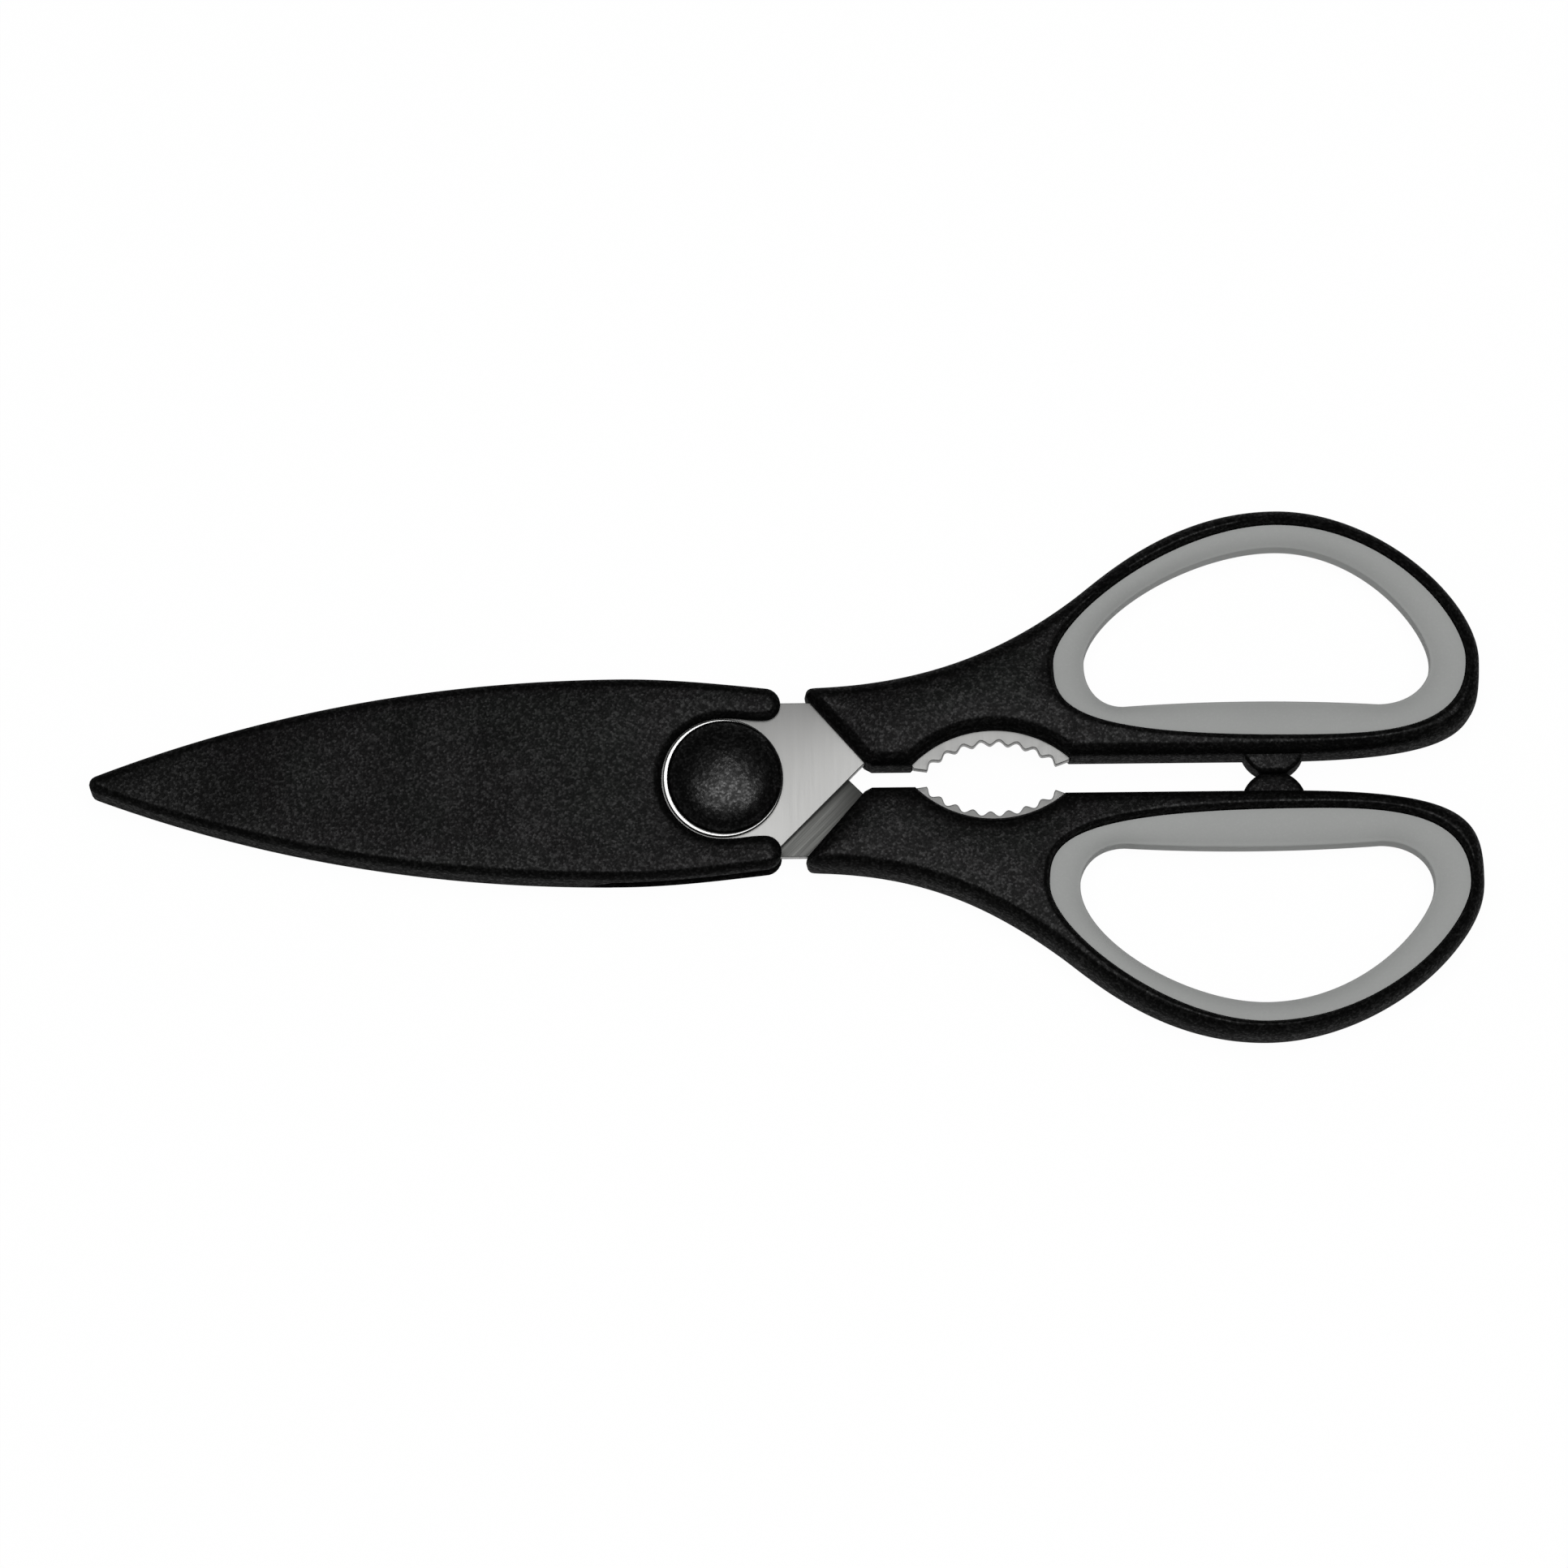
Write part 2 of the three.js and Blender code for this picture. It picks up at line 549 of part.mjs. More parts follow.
// Soft lining: a loft round the opening, with crowned faces that come down towards the hole.
function lining(lean) {
  const inner = openingOutline(lean);
  const border = grow(liningOutline(lean), -FIT_GAP);
  const outward = grow(inner, 1).map((p, i) => p.sub(inner[i]).normalize());
  const outer = inner.map((p, i) => reach(border, p, outward[i]));
  const section = liningSection();
  const positions = [];
  section.forEach(([share, height]) => {
    inner.forEach((p, i) => {
      const at = outer[i].clone().lerp(p, share);
      positions.push(at.x, at.y, MID + height);
    });
  });
  const count = inner.length;
  const index = [];
  for (let row = 0; row < section.length; row += 1) {
    const next = (row + 1) % section.length;
    for (let i = 0; i < count; i += 1) {
      const j = (i + 1) % count;
      index.push(row * count + i, next * count + j, next * count + i);
      index.push(row * count + i, row * count + j, next * count + j);
    }
  }
  const geometry = new THREE.BufferGeometry();
  geometry.setAttribute("position", new THREE.Float32BufferAttribute(positions, 3));
  geometry.setIndex(index);
  return solidOf(geometry).subtract(lockingRib(FIT_GAP, lean));
}

// Headed bolt, from the end in the nut up through both blades.
function bolt() {
  const low = NUT_SEAT - NUT_HEIGHT;
  const high = CAP_SEAT + HEAD_HEIGHT;
  return turned([
    [0, low],
    [BOLT_RADIUS, low],
    [BOLT_RADIUS, CAP_SEAT],
    [HEAD_RADIUS, CAP_SEAT],
    [HEAD_RADIUS, high - HEAD_CHAMFER],
    [HEAD_RADIUS - HEAD_CHAMFER, high],
    [0, high],
  ]);
}

function nut() {
  const low = NUT_SEAT - NUT_HEIGHT;
  const outline = [0, 1, 2, 3, 4, 5].map((i) => {
    const angle = (i * Math.PI) / 3;
    return new THREE.Vector2(NUT_CORNER * Math.cos(angle), NUT_CORNER * Math.sin(angle));
  });
  const bore = disc(0, 0, BOLT_RADIUS + FIT_GAP, low - CUT_OVER, NUT_SEAT + CUT_OVER);
  return plate(outline, low, NUT_SEAT).subtract(bore);
}

function washer(bottom, top) {
  const inner = BOLT_RADIUS + RUN_GAP + WASHER_PLAY;
  const profile = [
    [inner, bottom],
    [WASHER_RADIUS, bottom],
    [WASHER_RADIUS, top],
    [inner, top],
    [inner, bottom],
  ];
  return turned(profile, -WASHER_PLAY);
}

// Quarter ellipse of [radius, height] points, from the rim up to the axis side.
function crown(radius, base, height, across) {
  const points = [];
  const steps = 2 * EDGE_STEPS;
  for (let i = 0; i <= steps; i += 1) {
    const angle = (Math.PI * i) / 2 / steps;
    points.push([radius - across + across * Math.cos(angle), base + height * Math.sin(angle)]);
  }
  return points;
}

// Domed cap with a pocket for the bolt's head.
function frontCap() {
  const roof = CAP_SEAT + HEAD_HEIGHT + FIT_GAP;
  const pocket = HEAD_RADIUS + FIT_GAP;
  return turned([
    [0, roof],
    [pocket, roof],
    [pocket, CAP_SEAT],
    [CAP_RADIUS, CAP_SEAT],
    ...crown(CAP_RADIUS, CAP_SEAT + CAP_SKIRT, CAP_DOME, CAP_RADIUS),
  ]);
}

// Flat cap with a pocket for the nut.
function rearCap() {
  const floor = NUT_SEAT - NUT_HEIGHT - FIT_GAP;
  const bottom = floor - CAP_FLOOR;
  const pocket = NUT_CORNER + FIT_GAP;
  return turned([
    [0, bottom],
    ...crown(CAP_RADIUS, bottom + CAP_EDGE, -CAP_EDGE, CAP_EDGE).reverse(),
    [CAP_RADIUS, NUT_SEAT],
    [pocket, NUT_SEAT],
    [pocket, floor],
    [0, floor],
  ]);
}

// Upper long side of the sheath, from its tip to the end of the straight part of the prong.
function sheathSide(path) {
  const slope = radians(SHEATH_TIP_SLOPE);
  const startX = SHEATH_TIP_RADIUS * (1 - Math.sin(slope)) - SHEATH_REACH;
  const startY = SHEATH_TIP_RADIUS * Math.cos(slope);
  const end = prongEnd();
  const run = (end.x + SHEATH_WIDEST) / 3;
  path.moveTo(startX, startY);
  path.bezierCurveTo(
    startX + SHEATH_TIP_LEAVE * Math.cos(slope),
    startY + SHEATH_TIP_LEAVE * Math.sin(slope),
    -SHEATH_WIDEST - SHEATH_WIDEST_ARRIVE,
    SHEATH_HALF_WIDTH,
    -SHEATH_WIDEST,
    SHEATH_HALF_WIDTH,
  );
  path.bezierCurveTo(
    run - SHEATH_WIDEST,
    SHEATH_HALF_WIDTH,
    end.x - run,
    MOUTH_HALF_WIDTH + SHEATH_SWELL / 2,
    end.x,
    MOUTH_HALF_WIDTH,
  );
}

// Round end of a prong, between the neck of the notch and the outer side.
function prongEnd() {
  const neck = WASHER_RADIUS + SLIDE_GAP;
  const radius = (MOUTH_HALF_WIDTH - neck) / 2;
  return { x: PRONG_REACH - radius, y: neck + radius, radius, neck };
}

// Outside of the sheath with the notch that takes the pivot.
function sheathOutline() {
  const end = prongEnd();
  const notch = WASHER_RADIUS + NOTCH_ROOM;
  const upper = new THREE.Path();
  sheathSide(upper);
  upper.absarc(end.x, end.y, end.radius, Math.PI / 2, -Math.PI / 2, true);
  upper.bezierCurveTo(end.x / 2, end.neck, end.x / 2, notch, -NOTCH_BACK, notch);
  upper.absarc(-NOTCH_BACK, 0, notch, Math.PI / 2, Math.PI, false);
  const half = outlineOf(upper);
  half.pop();
  const slope = Math.PI / 2 + radians(SHEATH_TIP_SLOPE);
  const tip = new THREE.Path();
  tip.absarc(SHEATH_TIP_RADIUS - SHEATH_REACH, 0, SHEATH_TIP_RADIUS, slope, 2 * Math.PI - slope, false);
  const round = outlineOf(tip).slice(1, -1);
  const notchEnd = new THREE.Vector2(-NOTCH_BACK - notch, 0);
  return [...half, notchEnd, ...mirrored(half), ...round.reverse()].reverse();
}

// Room for the blades inside the sheath, open at the mouth.
function sheathCavity(bottom, top) {
  const side = new THREE.Path();
  sheathSide(side);
  const points = outlineOf(side);
  const half = points.map((p, i) => {
    const before = points[Math.max(i - 1, 0)];
    const after = points[Math.min(i + 1, points.length - 1)];
    const inward = new THREE.Vector2(after.y - before.y, before.x - after.x).normalize();
    const inset = p.clone().addScaledVector(inward, SHEATH_SIDE);
    return inset.setY(Math.max(inset.y, CAVITY_TIP));
  });
  half.push(new THREE.Vector2(BEYOND, half.at(-1).y));
  return plate([...half, ...mirrored(half)].reverse(), bottom, top);
}

// Slot along both side walls at the mouth, from a seam upwards, which lets the prongs give.
function sideSlots(seam) {
  const mouth = PRONG_REACH + CUT_OVER;
  const section = new THREE.Shape();
  section.moveTo(-SLOT_START, 0);
  section.lineTo(-SLOT_START, -CUT_OVER);
  section.lineTo(mouth, -CUT_OVER);
  section.lineTo(mouth, SLOT_MOUTH_HEIGHT);
  section.lineTo(SLOT_POINT - SLOT_START, SLOT_POINT_HEIGHT);
  section.closePath();
  return acrossSheath(section, seam);
}

// Step that thins the back wall to a lip under the side slots.
function slotLips(bottom, top) {
  const mouth = PRONG_REACH + CUT_OVER;
  const section = new THREE.Shape();
  section.moveTo(-SLOT_START, top - bottom);
  section.lineTo(SLOT_POINT - SLOT_START, SLOT_LIP);
  section.lineTo(mouth, SLOT_LIP);
  section.lineTo(mouth, top - bottom + CUT_OVER);
  section.lineTo(-SLOT_START, top - bottom + CUT_OVER);
  section.closePath();
  const middle = sheathCavity(bottom - CUT_OVER, top + 2 * CUT_OVER);
  return acrossSheath(section, bottom).subtract(middle);
}

// Bar right across the sheath, with a section drawn along X and upwards.
function acrossSheath(section, bottom) {
  const geometry = new THREE.ExtrudeGeometry(section, { depth: 2 * BEYOND, bevelEnabled: false });
  return solidOf(geometry.rotateX(Math.PI / 2).translate(0, BEYOND, bottom));
}

// Front wall and side walls of the sheath, cut off flat at the seam.
function sheathShell() {
  const seam = turnedOver(SHEATH_INNER) + FIT_GAP / 2;
  const low = seam - 2 * SHEATH_EDGE;
  const block = roundedPlate(sheathOutline(), low, SHEATH_TOP, SHEATH_EDGE, SHEATH_EDGE);
  const waste = plate(grow(sheathOutline(), CUT_OVER), low - CUT_OVER, seam);
  const hollow = block.subtract(waste).subtract(sheathCavity(seam - CUT_OVER, SHEATH_INNER));
  return hollow.subtract(sideSlots(seam));
}

function sheathBack() {
  const bottom = turnedOver(SHEATH_TOP);
  const top = turnedOver(SHEATH_INNER) - FIT_GAP / 2;
  const wall = roundedPlate(sheathOutline(), bottom, top, SHEATH_BACK_EDGE, SHEATH_BACK_EDGE, 1);
  return wall.subtract(slotLips(bottom, top));
}

function piece(name, solid, material) {
  const mesh = new THREE.Mesh(geometryOf(solid), material);
  mesh.name = name;
  return mesh;
}

const bladeSolid = blade();

// Upper half: the stamping in front, its handle and the lining of the loop.
const upperHalf = new THREE.Group();
upperHalf.add(piece("front_blade", bladeSolid, satinSteel));
upperHalf.add(piece("upper_handle", handle(LOOP_LEAN, JAW_SHOW), blackPlastic));
upperHalf.add(piece("upper_grip", lining(LOOP_LEAN), greyRubber));

// Lower half: its pieces turned over about the X axis, in the plane between the blades.
const lowerHalf = new THREE.Group();
lowerHalf.rotation.x = Math.PI;
lowerHalf.position.z = 2 * MID;
lowerHalf.add(piece("rear_blade", bladeSolid, satinSteel));
lowerHalf.add(piece("lower_handle", handle(-LOOP_LEAN, LOWER_JAW_SHOW), blackPlastic));
lowerHalf.add(piece("lower_grip", lining(-LOOP_LEAN), greyRubber));

const pivot = new THREE.Group();
pivot.add(piece("pivot_bolt", bolt(), satinSteel));
pivot.add(piece("pivot_nut", nut(), satinSteel));
pivot.add(piece("front_washer", washer(WASHER_BOTTOM, WASHER_TOP), brightSteel));
pivot.add(piece("rear_washer", washer(NUT_SEAT + FIT_GAP, REAR_WASHER_TOP), brightSteel));
pivot.add(piece("front_cap", frontCap(), blackPlastic));
pivot.add(piece("rear_cap", rearCap(), blackPlastic));

const sheath = new THREE.Group();
sheath.add(piece("sheath_shell", sheathShell(), blackPlastic));
sheath.add(piece("sheath_back", sheathBack(), blackPlastic));

const shears = new THREE.Group();
shears.add(upperHalf, lowerHalf, pivot, sheath);

export default shears;
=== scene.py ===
"""Kitchen shears lying closed, with their blades in a black sheath.

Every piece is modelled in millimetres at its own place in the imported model's frame, made into a
mesh in metres, and rides on the body that carries it.
"""

import logging
import math
from dataclasses import dataclass, field
from enum import Enum

import bmesh
import bpy
import numpy as np
from mathutils import Matrix, Vector
from mathutils.geometry import interpolate_bezier


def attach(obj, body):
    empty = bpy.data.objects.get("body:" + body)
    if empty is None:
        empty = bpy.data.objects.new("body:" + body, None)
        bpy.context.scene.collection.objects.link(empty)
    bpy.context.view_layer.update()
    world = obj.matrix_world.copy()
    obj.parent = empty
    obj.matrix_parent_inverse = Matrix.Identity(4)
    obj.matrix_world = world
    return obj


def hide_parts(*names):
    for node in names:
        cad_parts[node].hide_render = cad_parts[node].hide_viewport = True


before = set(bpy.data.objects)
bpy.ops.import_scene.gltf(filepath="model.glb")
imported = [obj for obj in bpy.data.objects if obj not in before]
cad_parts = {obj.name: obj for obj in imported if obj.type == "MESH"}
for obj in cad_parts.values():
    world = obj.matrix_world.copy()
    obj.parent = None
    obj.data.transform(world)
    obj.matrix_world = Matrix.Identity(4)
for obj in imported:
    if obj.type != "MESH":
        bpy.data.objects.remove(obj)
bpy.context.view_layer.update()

MILLIMETRE = 0.001
SHARP_ANGLE = math.radians(38)
MERGE = 1e-4  # two points that are closer, in millimetres, become one
TINY = 1e-6  # a shorter way counts as none
PARALLEL = 1e-12  # two directions with a smaller cross product never meet
SPARE = 1.0  # how far a cutter stands past what it cuts, in millimetres
log = logging.getLogger("shears")

Ring = list[Vector]
Span = tuple[float, float]
Tone = tuple[float, float, float]
Shape = bmesh.types.BMesh
Vert = bmesh.types.BMVert
Edge = bmesh.types.BMEdge
Piece = bpy.types.Object
Material = bpy.types.Material
Node = bpy.types.Node
Socket = bpy.types.NodeSocket
WHOLE: Span = (0.0, 1.0)


class Side(Enum):
    """The two halves of the shears. The lower one is drawn like the upper one and turned over."""

    UPPER = "upper"
    LOWER = "lower"

    @property
    def body(self) -> str:
        """Name of the body that carries this half."""
        return f"{self.value}_half"

    @property
    def blade(self) -> str:
        """Name of this half's blade among the solids."""
        return "front_blade" if self is Side.UPPER else "rear_blade"

    def place(self, bm: Shape, middle: float) -> None:
        """Turns a finished upper shape over about the middle plane if this is the lower half.

        Args:
            bm: The shape, modelled for the upper half.
            middle: Height of the plane between the two blades.
        """
        if self is Side.LOWER:
            turn = Matrix.Rotation(math.pi, 3, "X")
            bmesh.ops.rotate(bm, cent=(0, 0, middle), matrix=turn, verts=bm.verts)

    def place_piece(self, piece: Piece, middle: float) -> None:
        """Does the same to a piece that is already an object.

        Args:
            piece: The piece, modelled for the upper half.
            middle: Height of the plane between the two blades.
        """
        bm = bmesh.new()
        bm.from_mesh(piece.data)
        self.place(bm, middle)
        bm.to_mesh(piece.data)
        bm.free()


class Cut(Enum):
    """How one shape works on another."""

    TAKE_AWAY = "DIFFERENCE"
    JOIN = "UNION"


class Outline:
    """Closed outline in the plane of the shears, drawn with lines, arcs and curves."""

    STEP = 0.7
    FEWEST = 6
    SAME = 1e-3

    def __init__(self, x: float, y: float) -> None:
        """Puts the pen down at a point."""
        self.points: Ring = [Vector((x, y, 0.0))]

    def line(self, x: float, y: float) -> "Outline":
        """Draws a straight line to a point, with points along it."""
        start, end = self.points[-1].copy(), Vector((x, y, 0.0))
        count = max(1, round((end - start).length / self.STEP))
        self.points += [start.lerp(end, i / count) for i in range(1, count + 1)]
        return self

    def curve(self, first: tuple, second: tuple, end: tuple) -> "Outline":
        """Draws a curve to a point.

        Args:
            first: Control point that the curve leaves towards.
            second: Control point that it arrives from.
            end: Where it ends.

        Returns:
            The outline itself.
        """
        path = [self.points[-1], *(Vector((*p, 0.0)) for p in (first, second, end))]
        length = sum((b - a).length for a, b in zip(path, path[1:]))
        count = max(self.FEWEST, round(length / self.STEP))
        self.points += interpolate_bezier(*path, count + 1)[1:]
        return self

    def turn(self, x: float, y: float, full: Span, upright: bool) -> "Outline":
        """Draws a quarter turn to a point.

        Args:
            x: Where it ends along the shears.
            y: Where it ends across them.
            full: How full the turn is at its start and at its end.
            upright: Whether it leaves straight across the shears.

        Returns:
            The outline itself.
        """
        start = self.points[-1]
        across, along = y - start.y, x - start.x
        if upright:
            leave = (start.x, start.y + full[0] * across)
            arrive = (x - full[1] * along, y)
        else:
            leave = (start.x + full[0] * along, start.y)
            arrive = (x, y - full[1] * across)
        return self.curve(leave, arrive, (x, y))

    def arc(self, centre: tuple, radius: float, start: float, end: float) -> "Outline":
        """Draws an arc, after a line to its start.

        Args:
            centre: Middle of the arc.
            radius: Its radius.
            start: Direction of its first point in degrees.
            end: Direction of its last point, smaller than the first on a clockwise arc.

        Returns:
            The outline itself.
        """
        sweep = math.radians(end - start)
        count = max(self.FEWEST, round(abs(sweep) * radius / self.STEP))
        first = math.radians(start)
        spots = [first + sweep * i / count for i in range(count + 1)]
        arc = [(centre[0] + radius * math.cos(a), centre[1] + radius * math.sin(a)) for a in spots]
        self.line(*arc[0])
        self.points += [Vector((*p, 0.0)) for p in arc[1:]]
        return self

    def ring(self) -> Ring:
        """Returns the closed outline anticlockwise, with no point twice."""
        after = self.points[1:] + self.points[:1]
        kept = [p for p, q in zip(self.points, after) if (p - q).length > self.SAME]
        area = sum(p.x * q.y - q.x * p.y for p, q in zip(kept, kept[1:] + kept[:1]))
        return kept if area > 0 else kept[::-1]


def flat(ring: Ring) -> np.ndarray:
    """Returns the points of a ring as rows of two numbers."""
    return np.array([(p.x, p.y) for p in ring])


def raised(rows: np.ndarray, height: float = 0.0) -> Ring:
    """Returns rows of two numbers as points at one height."""
    return [Vector((x, y, height)) for x, y in rows]


def other_half(points: Ring) -> Ring:
    """Returns points mirrored across the shears, in reverse order."""
    return [Vector((p.x, -p.y, 0.0)) for p in reversed(points)]


def unit(rows: np.ndarray) -> np.ndarray:
    """Returns rows of numbers, each brought to length one."""
    return rows / np.linalg.norm(rows, axis=1)[:, None]


def quarter(steps: int) -> list[float]:
    """Returns the angles of a quarter turn in equal steps."""
    return [math.pi / 2 * i / steps for i in range(steps + 1)]


def inward(ring: Ring, sharpest: float = 0.6) -> np.ndarray:
    """Directions in which the points of a ring move when it shrinks.

    Args:
        ring: Anticlockwise outline.
        sharpest: Cosine of half the sharpest turn that is followed in full.

    Returns:
        One row per point, longer than one at a corner so that both sides move alike.
    """
    points = flat(ring)
    ahead = unit(np.roll(points, -1, axis=0) - points)
    left = np.stack([-ahead[:, 1], ahead[:, 0]], axis=1)
    both = unit(left + np.roll(left, 1, axis=0))
    lean = np.clip((both * left).sum(axis=1), sharpest, 1.0)
    return both / lean[:, None]


def grown(ring: Ring, distance: float) -> Ring:
    """Returns an outline moved outwards by a distance, or inwards by a negative one."""
    return raised(flat(ring) - inward(ring) * distance)


def clearance(ring: Ring, safe_share: float = 0.92) -> np.ndarray:
    """How far each point of a ring can move inwards before the ring meets itself.

    Args:
        ring: Anticlockwise outline.
        safe_share: Share of that distance that is used.

    Returns:
        One distance per point.
    """
    points, normals = flat(ring), unit(inward(ring))
    gaps = points[None, :, :] - points[:, None, :]
    facing = (gaps * normals[:, None, :]).sum(axis=2)
    square = (gaps**2).sum(axis=2)
    room = np.full_like(facing, np.inf)
    ahead = facing > MERGE
    room[ahead] = square[ahead] / (2 * facing[ahead])
    return safe_share * room.min(axis=1)


def reach_to(ring: Ring, starts: np.ndarray, directions: np.ndarray) -> np.ndarray:
    """Distance from points along directions to an outline.

    Args:
        ring: The outline to meet.
        starts: One row per point.
        directions: One row of length one per point.

    Returns:
        One distance per point, endless where the outline isn't met.
    """
    first = flat(ring)
    sides = np.roll(first, -1, axis=0) - first
    gaps = first[None, :, :] - starts[:, None, :]
    side_x, side_y = sides[None, :, 0], sides[None, :, 1]
    way_x, way_y = directions[:, None, 0], directions[:, None, 1]
    turn = way_x * side_y - way_y * side_x
    turn = np.where(np.abs(turn) < PARALLEL, PARALLEL, turn)
    away = (gaps[..., 0] * side_y - gaps[..., 1] * side_x) / turn
    share = (gaps[..., 0] * way_y - gaps[..., 1] * way_x) / turn
    met = (away > TINY) & (share >= 0) & (share <= 1)
    return np.where(met, away, np.inf).min(axis=1)


def lay_ring(bm: Shape, points: Ring) -> list[Vert]:
    """Lays a closed ring of edges.

    Args:
        bm: The shape being made.
        points: Where its vertices go, in order.

    Returns:
        Its vertices.
    """
    verts = [bm.verts.new(p) for p in points]
    for a, b in zip(verts, verts[1:] + verts[:1]):
        bm.edges.new((a, b))
    return verts


def ring_edges(bm: Shape, verts: list[Vert]) -> list[Edge]:
    """Returns the edges of a closed ring of vertices."""
    return [bm.edges.get(pair) for pair in zip(verts, verts[1:] + verts[:1])]


def raise_ring(bm: Shape, verts: list[Vert], points: Ring) -> list[Vert]:
    """Extrudes a ring of edges to new places.

    Args:
        bm: The shape being made.
        verts: The ring to extrude.
        points: Where its vertices go, in the same order.

    Returns:
        The vertices of the new ring.
    """
    made = bmesh.ops.extrude_edge_only(bm, edges=ring_edges(bm, verts))["geom"]
    fresh = {v for v in made if isinstance(v, Vert)}
    risen = []
    for old, point in zip(verts, points):
        new = next(e.other_vert(old) for e in old.link_edges if e.other_vert(old) in fresh)
        new.co = point
        risen.append(new)
    return risen


def at_height(ring: Ring, height: float) -> Ring:
    """Returns a ring at one height."""
    return [Vector((p.x, p.y, height)) for p in ring]


def close_halves(bm: Shape) -> None:
    """Mirrors an open upper half in the plane of height zero, and closes the two halves.

    Args:
        bm: The half, which becomes the closed solid.
    """
    geometry = [*bm.verts, *bm.edges, *bm.faces]
    bmesh.ops.mirror(bm, geom=geometry, merge_dist=MERGE, axis="Z")
    bmesh.ops.remove_doubles(bm, verts=bm.verts, dist=MERGE)
    bmesh.ops.recalc_face_normals(bm, faces=bm.faces)


def prism(ring: Ring, bottom: float, top: float) -> Shape:
    """Straight-sided block of an outline.

    Args:
        ring: Anticlockwise outline.
        bottom: Height of its lower face.
        top: Height of its upper face.

    Returns:
        The block.
    """
    bm = bmesh.new()
    low = lay_ring(bm, at_height(ring, bottom))
    high = raise_ring(bm, low, at_height(ring, top))
    for ring_verts in (low, high):
        bmesh.ops.triangle_fill(bm, use_beauty=True, edges=ring_edges(bm, ring_verts))
    bmesh.ops.recalc_face_normals(bm, faces=bm.faces)
    return bm


def bar(section: Ring, run: Vector) -> Shape:
    """Straight bar of a section.

    Args:
        section: Corners of one end.
        run: The way to the other end.

    Returns:
        The closed bar.
    """
    bm = bmesh.new()
    face = bm.faces.new([bm.verts.new(corner) for corner in section])
    made = bmesh.ops.extrude_face_region(bm, geom=[face])["geom"]
    ends = [v for v in made if isinstance(v, Vert)]
    bmesh.ops.translate(bm, vec=run, verts=ends)
    bmesh.ops.recalc_face_normals(bm, faces=bm.faces)
    return bm


def turned(profile: list[Span], steps: int = 144) -> Shape:
    """Piece turned about the pivot axis.

    Args:
        profile: Radius and height of each point of the section, in order.
        steps: How many steps the spin takes.

    Returns:
        The closed piece.
    """
    bm = bmesh.new()
    verts = [bm.verts.new((radius, 0, height)) for radius, height in profile]
    edges = [bm.edges.new(pair) for pair in zip(verts, verts[1:])]
    bmesh.ops.spin(
        bm,
        geom=[*verts, *edges],
        cent=(0, 0, 0),
        axis=(0, 0, 1),
        angle=2 * math.pi,
        steps=steps,
        use_merge=True,
    )
    bmesh.ops.remove_doubles(bm, verts=bm.verts, dist=MERGE)
    bmesh.ops.recalc_face_normals(bm, faces=bm.faces)
    return bm


def rod(x: float, y: float, radius: float, bottom: float, top: float) -> Shape:
    """Returns a round bar that stands at a place between two heights, for a hole."""
    ring = Outline(x + radius, y).arc((x, y), radius, 0, 360).ring()
    return prism(ring, bottom, top)


